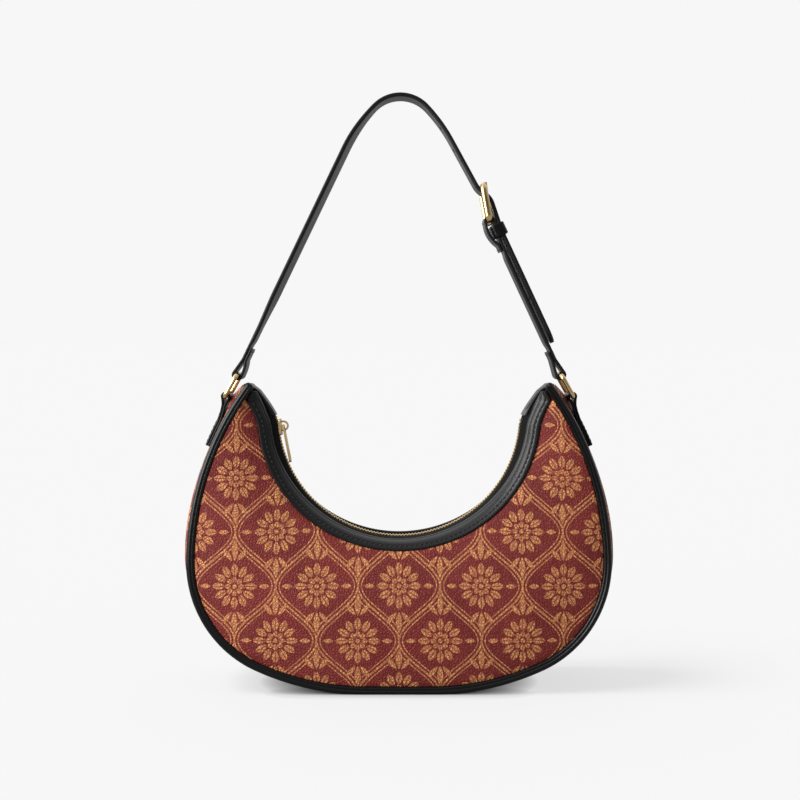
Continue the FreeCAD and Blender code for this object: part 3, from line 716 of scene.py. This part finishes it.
BOARD_LOOK = mottled("board", 1.5, 4.0, (0.11, 0.075, 0.045), (0.2, 0.14, 0.09), rough=(0.7, 0.9))


def attach(piece, body, slot, *nodes):
    """The piece rides on a body, or stays put between two, and hides the nodes it stands for. The slot is
    not used.
    """
    if isinstance(body, str):
        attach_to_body(piece, body)
    else:
        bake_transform(piece)
    if nodes:
        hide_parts(*nodes)


# Body pieces

def section_loop(phi, side, corners):
    """Points of a section at phi on that side of the bag, from its (rho, y) corners."""
    return [polar_point(rho, phi, side * y) for rho, y in corners]


def unevenness(place):
    """How far a panel's face wanders outwards at a place."""
    return sum(height * noise.noise(Vector((place.x / size, place.z / size, layer)))
               for height, size, layer in UNEVEN)


def panel_section(s, depth=0.0):
    """Ray angle of a panel's section, and its outer face from under the band to behind the piping."""
    rho_edge, phi = polar(body_point(s, 2 * PIPING_RADIUS + 2 * LAYER_GAP))
    low, _, up, inward = band_corners(phi)
    corner = moved(low, inward, BAND_SKIN + depth)
    y_edge = half_depth(body_point(s, 2 * PIPING_RADIUS).z) + SEAM - depth
    start = (corner[0] + LAYER_GAP, corner[1])
    bulge = PANEL_BULGE * (rho_edge - start[0]) / PANEL_CHORD
    face = [moved(corner, up, reach) for reach in PANEL_UNDER]
    for t in steps(0.0, 1.0, 30):
        rho = mix(start[0], rho_edge, t)
        place = polar_point(rho, phi, 0)
        y = mix(start[1], y_edge, t) + 4 * t * (1 - t) * (bulge + unevenness(place))
        face.append((rho, y))
    return phi, face + [(rho_edge + out, y_edge - back) for out, back in PANEL_TUCK]


def panel_loops(side, depth, thickness, reach, first=0, last=None):
    loops = []
    for s in steps(-reach, reach, 220):
        phi, face = panel_section(s, depth)
        outer = face[first:last]
        inner = [(rho, y - thickness) for rho, y in outer]
        loops.append(section_loop(phi, side, outer + inner[::-1]))
    return loops


def panel(name, side):
    """A crescent panel, with its print upright in the view from its own side."""
    def on_print(_, point):
        return point.x * -side, point.z

    loops = panel_loops(side, 0.0, SKIN, PANEL_REACH)
    piece = loft_object(name + "_panel_leather", loops, [PRINTED], print_side=on_print)
    attach(piece, "bag", "printed_leather", name + "_panel")


GUSSET_PLACES = steps(-GUSSET_END, GUSSET_END, 300)


def gusset_loops(depth, thickness, widening):
    loops = []
    for s in GUSSET_PLACES:
        half = gusset_half(s)
        top = depth(s) if callable(depth) else depth
        outer, inner = [], []
        for k in steps(-1.0, 1.0, 22):
            y = k * (half + widening)
            reach = top - crest(s) + gusset_drop(s, y)
            outer.append(body_point(s, reach, y))
            inner.append(body_point(s, reach + thickness, y))
        loops.append([Vector((p.x, p.y, max(p.z, 0.0))) for p in outer + inner[::-1]])
    return loops


def lining_depth(s):
    """The lining lies over the base board, and on the gusset beside it."""
    share = smooth((abs(s) - BOARD_HALF - BOARD_SPARE) / BOARD_EASE)
    return SKIN + LAYER_GAP + (BOARD + LAYER_GAP) * (1.0 - share)


def gusset():
    def on_print(i, point):
        return point.y, GUSSET_PLACES[i]

    loops = gusset_loops(0.0, SKIN, GUSSET_TUCK)
    piece = loft_object("gusset_leather", loops, [PRINTED], print_side=on_print)
    attach(piece, "bag", "printed_leather", "gusset")


def linings():
    for name, side in (("front", -1), ("back", 1)):
        loops = panel_loops(side, SKIN + LAYER_GAP, LINING, LINING_REACH, 2, -2)
        piece = loft_object(name + "_lining_cloth", loops, [LINING_LOOK])
        attach(piece, "bag", "lining_cloth", "lining_" + name)
    loops = gusset_loops(lining_depth, LINING, -LINING_NARROW)
    piece = loft_object("gusset_lining_cloth", loops, [LINING_LOOK])
    attach(piece, "bag", "lining_cloth", "lining_gusset")
    loops = panel_loops(1, SKIN + LINING + 2 * LAYER_GAP, LINING, POCKET_REACH, *POCKET_ROWS)
    attach(loft_object("pocket_cloth", loops, [LINING_LOOK]), "bag", "lining_cloth", "inner_pocket")


def piping(name, side):
    """A round welt along the outline, leaning with the bag's edge, with a dented seam and rounded ends."""
    sides = 40
    reach = HALF_LENGTH + PIPING_PAST[name] - PIPING_CAP
    places = [(s, 1.0) for s in steps(-reach, reach, 320)]
    for share in (0.35, 0.65, 0.87, 0.99):
        out, size = share * PIPING_CAP, math.sqrt(1.0 - share ** 2)
        places.insert(0, (-reach - out, size))
        places.append((reach + out, size))
    loops = []
    for s, size in places:
        heading = math.radians(BODY.at(s + HALF_LENGTH)[2])
        inward = Vector((-math.sin(heading), 0, math.cos(heading)))
        centre = body_point(s, PIPING_RADIUS - WELT_OUT)
        wave = noise.noise(Vector((s / PIPING_WAVE, side * 4.0, 0)))
        radius = WELT_RADIUS * size * (1.0 + PIPING_UNEVEN * wave)
        loop = []
        for k in range(sides):
            a = 2 * math.pi * (k + 0.5) / sides - math.pi
            dent = 1.0 - PIPING_DENT * math.exp(-((a - side * PIPING_SEAM) / PIPING_SEAM_WIDTH) ** 2)
            p = centre + (inward * math.cos(a) + Vector((0, math.sin(a), 0))) * radius * dent
            y = side * DEPTH_BASE + p.y * math.cos(LEAN) - side * p.z * math.sin(LEAN)
            loop.append(Vector((p.x, y, max(p.z * math.cos(LEAN) + side * p.y * math.sin(LEAN), 0.0))))
        loops.append(loop)
    piece = loft_object(name + "_piping_welt", loops, [PIPING_LOOK])
    attach(piece, "bag", "black_leather", name + "_piping")


def band_face(phi, d, lift=0.0, lip=0.0):
    """A place on the band's outer face, d from its lower edge, as (rho, y), and the outward direction."""
    low, top, up, inward = band_corners(phi)
    width = math.dist(low, top)
    share = d / width
    bow = 4 * BAND_BOW * share * (1 - share)
    groove = STITCH_GROOVE * math.exp(-((d - STITCH_INSET) / GROOVE_WIDTH) ** 2)
    roll = (BAND_ROLL + lip) * smooth((d - width + BAND_ROLL_WIDTH) / ROLL_EASE)
    out = (-inward[0], -inward[1])
    return moved(moved(low, up, d), out, bow - groove + roll + lift), out


def band(name, side):
    """The band along the zip: a bowed strip with a stitched groove and a rolled top, higher on the back."""
    loops = []
    half = BAND_SKIN / 2
    for phi in zip_angles():
        low, top, *_ = band_corners(phi)
        lip = BACK_LIP * (1.0 - smooth(abs(phi) / BACK_LIP_END)) if side > 0 else 0.0
        rows = thickness_rows(math.dist(low, top), half, 24)
        upper = [band_face(phi, d, thick - half, lip)[0] for d, thick in rows]
        lower = [band_face(phi, d, -thick - half, lip)[0] for d, thick in rows]
        loops.append(section_loop(phi, side, upper + lower[::-1]))
    piece = loft_object(name + "_band_leather", loops, [BLACK, EDGE])
    attach(piece, "bag", "black_leather", name + "_zip_band")

    def on_band(d):
        phi = math.degrees(d / ZIP_RADIUS)
        (rho, y), out = band_face(phi, STITCH_INSET, STITCH_LIFT)
        a = math.radians(phi)
        outward = Vector((out[0] * math.sin(a), side * out[1], -out[0] * math.cos(a)))
        return polar_point(rho, phi, side * y), outward

    reach = math.radians(BAND_END - 2.0) * ZIP_RADIUS
    rows = row_of_stitches(on_band, -reach, reach)
    attach(stitch_object(name + "_band_stitches", rows, THREAD_LOOK), "bag", "black_leather")


def tape(name, side):
    """The zip's tape runs flat beside the teeth, then tucks under the band."""
    loops = []
    for phi in zip_angles():
        low, top, up, inward = band_corners(phi)
        rho = zip_rho(phi) - TAPE / 2
        lip = tape_lip(phi)
        beside, tucked = [(rho, y) for y in TAPE_PLACES], [lip, moved(lip, up, -0.6 * math.dist(low, top))]
        lower = [(r + TAPE, y) for r, y in beside] + [moved(c, inward, TAPE) for c in tucked]
        loops.append(section_loop(phi, side, beside + tucked + lower[::-1]))
    piece = loft_object(name + "_tape_weave", loops, [TAPE_LOOK])
    attach(piece, "bag", "zip_tape", "zip_tape_" + name)


def end_tab(name, mirror):
    """The leather tab over one end of the zip, which widens over the horn's tip."""
    sections = []
    for phi in steps(TAB_START, BAND_END + 0.4, 16):
        base = polar_point(zip_rho(phi) - TAPE / 2 - LAYER_GAP, phi, 0)
        drop = TAB_DROP * (tape_lip(phi)[0] - zip_rho(phi))
        sections.append((base, (Vector((0, 0, ZIP_CENTRE)) - base).normalized(), TAB_HALF, drop))
    for x, z, half in TIP_COVER:
        sections.append((Vector((x, 0, z)), Vector(TIP_UP).normalized(), half, 0.0))
    loops = []
    for base, up, half, drop in sections:
        under, over = [], []
        for place, thick in thickness_rows(2 * half, TAB / 2, 12):
            y = place - half
            lift = TAB / 2 - drop * max(abs(y) - TAB_FLAT, 0.0) / (half - TAB_FLAT)
            under.append(base + up * (lift - thick) + Vector((0, y, 0)))
            over.append(base + up * (lift + thick) + Vector((0, y, 0)))
        loops.append(under + over[::-1])
    piece = loft_object(name + "_tab_leather", loops, [BLACK, EDGE], mirror=mirror)
    attach(piece, "bag", "black_leather", "zip_end_tab_" + name)


# Folds, chapes and straps

def heading_between(a, b):
    return math.degrees(math.atan2(b[1] - a[1], b[0] - a[0]))


def tangent_angle(radius, along, side):
    """Angle at which the line from (along, side) touches the circle about the origin, on that side."""
    return math.atan2(side, along) + math.copysign(math.acos(radius / math.hypot(along, side)), side)


def fold(centre, heading, reach, thick, belly=0.0, pinch=0.0):
    """Middle line of leather folded round a bar: from its right leaf round the bar to its left leaf.
    The belly bows the right leaf outwards, and the pinch draws both leaves together."""
    radius, half = WIRE + LOOP_GAP + thick / 2, thick / 2
    first, last = tangent_angle(radius, reach, -half), tangent_angle(radius, reach, half)
    low = (radius * math.cos(first), radius * math.sin(first))
    high = (radius * math.cos(last), radius * math.sin(last))
    spots = []
    for t in steps(0.0, 1.0, 12):
        side = mix(-half, low[1], t) + 4 * (pinch - belly) * t * (1 - t)
        spots.append((mix(reach, low[0], t), min(side, -half)))
    for a in steps(first, last - 2 * math.pi, 24)[1:]:
        spots.append((radius * math.cos(a), radius * math.sin(a)))
    for t in steps(0.0, 1.0, 12)[1:]:
        spots.append((mix(high[0], reach, t), max(mix(high[1], half, t) - 4 * pinch * t * (1 - t), half)))
    ahead = Vector((math.cos(math.radians(heading)), 0, math.sin(math.radians(heading))))
    left = Vector((-ahead.z, 0, ahead.x))
    return [Vector((centre[0], 0, centre[1])) + ahead * along + left * offset for along, offset in spots]


def stops(points, half_thick, half_width=STRAP_HALF):
    """Flat route stops of one thickness through points."""
    return [(p.x, p.z, half_thick, half_width, FLAT) for p in points]


def chape(name, mirror):
    """Two leaves sewn on the gusset and folded round the ring's lower bar."""
    half = CHAPE_LEAF / 2 - 0.06
    root = body_point(CHAPE_HIGH, -crest(CHAPE_HIGH) - CHAPE_LEAF - CHAPE_GAP)
    heading = heading_between(RING_LOW, (root.x, root.z))
    reach = math.dist(RING_LOW, (root.x, root.z))
    inner, outer = [], []
    for s in steps(CHAPE_LOW, CHAPE_HIGH - 1.5, 14):
        cup = gusset_drop(s, CHAPE_HALF) * smooth((CHAPE_HIGH - s) / CHAPE_EASE)
        near = body_point(s, -crest(s) - CHAPE_GAP - CHAPE_LEAF / 2)
        far = body_point(s, -crest(s) - CHAPE_GAP - 1.5 * CHAPE_LEAF)
        inner.append((near.x, near.z, half, CHAPE_HALF, (0.0, cup)))
        outer.append((far.x, far.z, half, CHAPE_HALF, (0.0, -cup)))
    turn = fold(RING_LOW, heading, reach, CHAPE_LEAF, pinch=CHAPE_PINCH)
    route = inner + stops(turn, half, CHAPE_HALF) + outer[::-1]
    piece = ribbon(name + "_chape_leather", route, [BLACK, EDGE], mirror)
    attach(piece, "bag", "black_leather", "chape_" + name)
    sign = -1 if mirror else 1
    rows = []
    for y in (-CHAPE_HALF + 1.7, CHAPE_HALF - 1.7):
        def on_leaf(s, y=y):
            drop = gusset_drop(s, y) * smooth((CHAPE_HIGH - s) / CHAPE_EASE)
            p = body_point(s, -crest(s) + CHAPE_GAP - 2 * CHAPE_LEAF + drop, y)
            out = p - body_point(s, 20.0, y)
            return Vector((sign * p.x, p.y, p.z)), Vector((sign * out.x, 0, out.z)).normalized()

        rows += row_of_stitches(on_leaf, CHAPE_LOW + 1.6, CHAPE_HIGH - 6.0)
    attach(stitch_object(name + "_chape_stitches", rows, THREAD_LOOK), "bag", "black_leather")


LEFT_TOP = (-RING_TOP[0], RING_TOP[1])
STRAP_SHIFT = LEAF - STRAP / 2
SHORT_HEADING = heading_between(HEEL, RING_TOP)
SHORT_LENGTH = math.dist(HEEL, RING_TOP)
LEFT_AXIS = ArcPath(LEFT_TOP[0], LEFT_TOP[1], STRAP_LEAN, [run(60.0)])
SHORT_AXIS = ArcPath(HEEL[0], HEEL[1], SHORT_HEADING, [run(SHORT_LENGTH)])
RING_AXIS = ArcPath(RING_TOP[0], RING_TOP[1], SHORT_HEADING + 180.0, [run(40.0)])
STRAP_START = LEFT_AXIS.point(0, STRAP_SHIFT)

# The long strap's middle line: over the arch, through the buckle, and along the short strap
ARCH_RUNS = [run(169.5), arc(110.0, -18.0), arc(24.5, -92.8), arc(110.0, -15.0), run(34.0)]
BUCKLE_RUNS = [arc(12.0, 23.0), run(5.0), arc(13.0, -33.0), run(18.0)]
SETTLE = arc(30.0, SHORT_HEADING - STRAP_LEAN - sum(turn for _, turn in ARCH_RUNS + BUCKLE_RUNS))
STRAP_RUNS = ARCH_RUNS + BUCKLE_RUNS + [SETTLE, run(TAIL)]
STRAP_PATH = ArcPath(STRAP_START.x, STRAP_START.z, STRAP_LEAN, STRAP_RUNS)
TAIL_START = STRAP_PATH.length - TAIL
LEAF_HALF = LEAF / 2 - 0.06
FLEX = ((0, 0, FLEX_LOW * MM), (0, 0, FLEX_TOP * MM))
LEFT_BEND, RIGHT_BEND = ("left_strap_end", "strap", *FLEX), ("strap", "right_strap_end", *FLEX[::-1])


def leaf_stops(axis, places, face):
    """Stops along one leaf of a strap's folded end, on its left face or, with -1, on its right."""
    return stops([axis.point(d, face * LEAF / 2) for d in places], LEAF_HALF)


def eased_stops(axis, first, last, doubled):
    """Stops from a doubled place on a strap's axis to where the strap is single, or the other way."""
    found = []
    for d in steps(first, last, 10):
        share = smooth(abs(d - doubled) / EASE)
        p = axis.point(d, mix(LEAF / 2, STRAP_SHIFT, share))
        found.append((p.x, p.z, mix(LEAF_HALF, STRAP / 2, share), STRAP_HALF, FLAT))
    return found


def prong_line(turn):
    """The prong's middle line from the buckle's heel bar to its far bar, swung by turn degrees."""
    heel, far = Vector((HEEL[0], 0, HEEL[1])), Vector((FRAME_TOP[0], 0, FRAME_TOP[1]))
    along = (far - heel).normalized()
    out = Vector((along.z, 0, -along.x))
    swing = Matrix.Rotation(math.radians(turn), 3, "Y")
    tip = far - heel + out * PRONG_TIP + along * PRONG_PAST
    return heel + swing @ (out * PRONG_HEEL), heel + swing @ tip


def long_strap():
    """The long strap, from its fold round the left ring over the arch and through the buckle to its end."""
    route = leaf_stops(LEFT_AXIS, steps(LONG_FOLD_END, RING_FOLD + 0.7, 6), -1)
    route += stops(fold(LEFT_TOP, STRAP_LEAN, RING_FOLD, LEAF, belly=0.5), LEAF_HALF)
    route += leaf_stops(LEFT_AXIS, (13.0, 15.0, 17.0, 19.0), 1)
    route += eased_stops(LEFT_AXIS, LONG_FOLD_END, LONG_FOLD_END + EASE, LONG_FOLD_END)
    end = STRAP_PATH.length
    for d in steps(LONG_FOLD_END + EASE + 2.0, end - STRAP_HALF, 300):
        p = STRAP_PATH.point(d)
        tilt = -STRAP_TILT * smooth((d - TILT_START) / TILT_IN) * smooth((TILT_END - d) / TILT_OUT)
        route.append((p.x, p.z, STRAP / 2, STRAP_HALF, (tilt, 0.0)))
    for a in steps(8.0, 86.0, 12):
        p = STRAP_PATH.point(end - STRAP_HALF + STRAP_HALF * math.sin(math.radians(a)))
        route.append((p.x, p.z, STRAP / 2, max(STRAP_HALF * math.cos(math.radians(a)), TAIL_POINT), FLAT))
    piece = ribbon("long_strap_leather", route, [STRAP_FACE, EDGE])
    holes = [TAIL_START + FREE_HOLE + i * HOLE_STEP for i in range(3)]
    holes += [TAIL_START - UPPER_HOLE - i * HOLE_STEP for i in range(2)]
    cutters = [peg(STRAP_PATH.point(d, -3.0), STRAP_PATH.point(d, 3.0), HOLE) for d in holes]
    cutters += [peg(*prong_line(turn), HOLE - 0.25) for turn in (0.0, 3.0, 6.0)]
    cut(piece, cutters)
    attach(piece, LEFT_BEND, "black_leather", "strap_long", "strap_long_flex", "strap_long_end")


def short_strap():
    """The short strap, folded round the buckle's heel bar above and the right ring below."""
    route = leaf_stops(SHORT_AXIS, steps(FOLD_END, FOLD + 0.7, 4), -1)
    route += stops(fold(HEEL, SHORT_HEADING, FOLD, LEAF, FOLD_BELLY), LEAF_HALF)
    route += leaf_stops(SHORT_AXIS, (19.0, 20.5), 1)
    route += eased_stops(SHORT_AXIS, FOLD_END, FOLD_END + EASE, FOLD_END)
    single = steps(FOLD_END + EASE + 2.0, SHORT_FOLD_START - EASE - 2.0, 24)
    route += stops([SHORT_AXIS.point(d, STRAP_SHIFT) for d in single], STRAP / 2)
    route += eased_stops(SHORT_AXIS, SHORT_FOLD_START - EASE, SHORT_FOLD_START, SHORT_FOLD_START)
    route += leaf_stops(RING_AXIS, (15.5, 14.0, 12.5), -1)
    route += stops(fold(RING_TOP, SHORT_HEADING + 180.0, RING_FOLD, LEAF), LEAF_HALF)
    route += leaf_stops(RING_AXIS, steps(RING_FOLD + 0.7, SHORT_LENGTH - SHORT_FOLD_START, 6), 1)
    piece = ribbon("short_strap_leather", route, [STRAP_FACE, EDGE])
    attach(piece, RIGHT_BEND, "black_leather", "strap_short", "strap_short_flex", "strap_short_end")


def keeper():
    """A leather box loop held in the short strap's fold, round its outer leaf and the strap's free end."""
    half = KEEPER / 2
    width = STRAP_HALF + KEEPER_ROOM + half
    middle = ((KEEPER_IN + KEEPER_OUT) / 2, (KEEPER_OUT - KEEPER_IN) / 2 + half)
    loop = []
    for sy, so in ((1, 1), (-1, 1), (-1, -1), (1, -1)):
        turn = steps(0.0, 90.0, 5) if sy * so > 0 else steps(90.0, 0.0, 5)
        for a in turn:
            y = sy * (width - KEEPER_ROUND + KEEPER_ROUND * math.cos(math.radians(a)))
            o = middle[0] + so * (middle[1] - KEEPER_ROUND + KEEPER_ROUND * math.sin(math.radians(a)))
            loop.append((y, o))
    loops = []
    for i, (y, o) in enumerate(loop):
        before, after = loop[i - 1], loop[(i + 1) % len(loop)]
        ahead = Vector((after[0] - before[0], after[1] - before[1])).normalized()
        outer, inner = [], []
        for place, thick in thickness_rows(KEEPER_HIGH - KEEPER_LOW, half):
            d = KEEPER_LOW + place
            outer.append(SHORT_AXIS.point(d, o - ahead.x * thick, y + ahead.y * thick))
            inner.append(SHORT_AXIS.point(d, o + ahead.x * thick, y - ahead.y * thick))
        loops.append(outer + inner[::-1])
    piece = loft_object("keeper_leather", loops, [PIPING_LOOK, EDGE], closed=True)
    attach(piece, "strap", "black_leather", "strap_keeper")


def strap_stitches():
    """Rows of stitches across both faces of the straps, near their folded ends."""
    ends = [("long_strap_stitches", LEFT_AXIS, LONG_FOLD_END, LEFT_BEND),
            ("ring_fold_stitches", RING_AXIS, SHORT_LENGTH - SHORT_FOLD_START, RIGHT_BEND),
            ("heel_fold_stitches", SHORT_AXIS, FOLD_END, "strap")]
    for name, axis, end, body in ends:
        rows = []
        for face in (-1, 1):
            def across_strap(y, face=face, axis=axis, d=end - 1.7):
                p = axis.point(d, face * LEAF, y)
                return p, (p - axis.point(d, 0, y)).normalized()

            rows += row_of_stitches(across_strap, -STRAP_HALF + 1.4, STRAP_HALF - 1.4)
        attach(stitch_object(name, rows, THREAD_LOOK), body, "black_leather")


def wire_ring(name, body, low, top, width, side_half):
    """A bent wire with bars along Y at low and top. Its side bars are side_half thick either way."""
    low, top = Vector((low[0], 0, low[1])), Vector((top[0], 0, top[1]))
    across, along = Vector((0, 1, 0)), (top - low).normalized()
    over = along.cross(across)
    high, half = (top - low).length - RING_CORNER, width / 2 - RING_CORNER
    corners = [(high, half), (high, -half), (RING_CORNER, -half), (RING_CORNER, half)]
    loops = []
    for quarter, (rise, y) in enumerate(corners):
        for turn in steps(quarter * math.pi / 2, (quarter + 1) * math.pi / 2, 12):
            out = across * math.cos(turn) + along * math.sin(turn)
            centre = low + along * rise + across * y + out * RING_CORNER
            tall = mix(WIRE, side_half, smooth(abs(math.cos(turn))))
            loops.append(oval(centre, out * WIRE, over * tall, 24))
    attach(loft_object(name + "_wire", loops, [GOLD], closed=True), body, "gold_metal", name)


def dress_nodes():
    """Finishes of the frame's own solids that stay in view, with softened edges on the metal."""
    looks = {"buckle_prong": GOLD, "base_board": BOARD_LOOK}
    for name in ("slider", "puller", "teeth_front", "teeth_back", "top_stops", "bottom_stop"):
        looks["zip_" + name] = ZIP_GOLD
    for name in ("front", "back"):
        looks[name + "_piping_cord"] = CORD_LOOK
    for name, look in looks.items():
        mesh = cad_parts[name].data
        mesh.materials.clear()
        mesh.materials.append(look)
    for name in ("zip_slider", "zip_puller"):
        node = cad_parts[name]
        weld = node.modifiers.new("weld", "WELD")
        weld.merge_threshold = 0.01 * MM
        bevel = node.modifiers.new("soft_edges", "BEVEL")
        bevel.width, bevel.segments = 0.22 * MM, 2
        bevel.limit_method = "ANGLE"


# Studio

ROOM_BASE, ROOM_LEFT, ROOM_RIGHT, ROOM_TOP, ROOM_BACK = 0.04, 1.35, 0.3, 0.65, 0.6
BACKDROP = (0.93, 0.93, 0.93, 1.0)
FLOOR_REACH, FLOOR_GLOW, FLOOR_BOUNCE, FLOOR_TONE, CONTACT_SHADE_REACH = 30.0, 0.685, 0.3, 0.1, 12.0
SUN_HEADING, SUN, SUN_ANGLE = (0.5, 0.1, -0.86), 5.4, 24.0
KEY_PLACE, KEY_AIM, KEY_SIZE, KEY_POWER = (-0.66, -0.42, 0.4), (0.0, 0.0, 0.12), 0.65, 9.6


def floor():
    """A pale glowing floor with a painted contact shadow where something stands on it, which lights the bag
    less than it shows.
    """
    mesh = bpy.data.meshes.new("floor")
    corners = [(x * FLOOR_REACH, y * FLOOR_REACH, 0) for x, y in ((-1, -1), (1, -1), (1, 1), (-1, 1))]
    mesh.from_pydata(corners, [], [(0, 1, 2, 3)])
    ground = bpy.data.objects.new("floor", mesh)
    bpy.context.scene.collection.objects.link(ground)
    look = Look("floor")
    look.put(Base_Color=(FLOOR_TONE, FLOOR_TONE, FLOOR_TONE, 1.0), Roughness=1.0, Specular_IOR_Level=0.0)
    # Painted contact shadow: the glow dims by ambient occlusion near anything standing on the floor.
    near = look.node("AmbientOcclusion", Distance=CONTACT_SHADE_REACH * MM)
    direct = Field(look.tree, look.node("LightPath").outputs["Is Camera Ray"])
    glow = Field(look.tree, near.outputs["AO"]) * direct.scaled(FLOOR_BOUNCE, 1.0) * FLOOR_GLOW
    look.put(Emission_Color=(1.0, 1.0, 1.0, 1.0), Emission_Strength=glow)
    mesh.materials.append(look.material)
    ground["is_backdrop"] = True
    return ground


def room():
    """A white room, brightest on the left and dark towards the camera, which sees a plain backdrop."""
    world = bpy.data.worlds.new("room")
    bpy.context.scene.world = world
    world.use_nodes = True
    tree = world.node_tree
    walls, seen = tree.nodes["Background"], tree.nodes.new("ShaderNodeBackground")
    walls.inputs["Color"].default_value = (1.0, 1.0, 1.0, 1.0)
    seen.inputs["Color"].default_value = BACKDROP
    direction = tree.nodes.new("ShaderNodeSeparateXYZ")
    tree.links.new(tree.nodes.new("ShaderNodeTexCoord").outputs["Generated"], direction.inputs[0])
    x, y, z = [Field(tree, socket) for socket in direction.outputs]
    strength = x.between(0.0, -0.9) * ROOM_LEFT + x.between(0.2, 1.0) * ROOM_RIGHT
    strength = strength + z.between(0.0, 1.0) * ROOM_TOP + y.between(-0.2, 0.9) * ROOM_BACK + ROOM_BASE
    feed(walls.inputs["Strength"], strength)
    rays, choice = tree.nodes.new("ShaderNodeLightPath"), tree.nodes.new("ShaderNodeMixShader")
    sources = (rays.outputs["Is Camera Ray"], walls.outputs[0], seen.outputs[0])
    for socket, source in zip(choice.inputs, sources):
        tree.links.new(source, socket)
    tree.links.new(choice.outputs[0], tree.nodes["World Output"].inputs["Surface"])


def light(name, kind, heading, receivers, **settings):
    """A light that falls on the receivers alone; everything still casts its shadow."""
    lamp = bpy.data.lights.new(name, kind)
    for setting, value in settings.items():
        setattr(lamp, setting, value)
    placed = bpy.data.objects.new(name, lamp)
    placed.rotation_mode = "QUATERNION"
    placed.rotation_quaternion = Vector(heading).to_track_quat("-Z", "Y")
    bpy.context.scene.collection.objects.link(placed)
    lit = bpy.data.collections.new("lit_by_" + name)
    for receiver in receivers:
        lit.objects.link(receiver)
    placed.light_linking.receiver_collection = lit
    return placed


def studio():
    """The floor, the room, a sun for the floor's shadow and a soft key light from the upper left."""
    bpy.context.scene.view_settings.view_transform = "Standard"
    ground = floor()
    room()
    light("sun", "SUN", SUN_HEADING, [ground], energy=SUN, angle=math.radians(SUN_ANGLE))
    aim = Vector(KEY_AIM) - Vector(KEY_PLACE)
    key = light("key", "AREA", aim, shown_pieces(), shape="DISK", size=KEY_SIZE, energy=KEY_POWER)
    key.location = KEY_PLACE


# The photo's frame in pixels, and the level line of its camera
PHOTO_SIDE, LEVEL_ROW, MIDDLE_COLUMN = 800.0, 336.5, 399.0
CAMERA_PLACE, LENS, SENSOR = (0.0, -0.757, 0.234), 50.0, 36.0


def camera():
    """A level camera in front of the bag, shifted to the photo's frame."""
    lens = bpy.data.cameras.new("camera")
    lens.lens, lens.sensor_width = LENS, SENSOR
    lens.shift_x = 0.5 - MIDDLE_COLUMN / PHOTO_SIDE
    lens.shift_y = LEVEL_ROW / PHOTO_SIDE - 0.5
    viewer = bpy.data.objects.new("camera", lens)
    viewer.location = CAMERA_PLACE
    viewer.rotation_euler = (math.radians(90.0), 0.0, 0.0)
    bpy.context.scene.collection.objects.link(viewer)
    bpy.context.scene.camera = viewer


for side_name, facing in (("front", -1), ("back", 1)):
    panel(side_name, facing)
    piping(side_name, facing)
    band(side_name, facing)
    tape(side_name, facing)
gusset()
linings()
for end_name, mirrored in (("right", False), ("left", True)):
    end_tab(end_name, mirrored)
    chape(end_name, mirrored)
long_strap()
short_strap()
keeper()
strap_stitches()
wire_ring("ring_right", "right_ring", RING_LOW, RING_TOP, RING_WIDTH, RING_SIDE)
wire_ring("ring_left", "left_ring", (-RING_LOW[0], RING_LOW[1]), LEFT_TOP, RING_WIDTH, RING_SIDE)
wire_ring("buckle_frame", "strap", HEEL, FRAME_TOP, FRAME_WIDE, FRAME_SIDE)
dress_nodes()
studio()
camera()
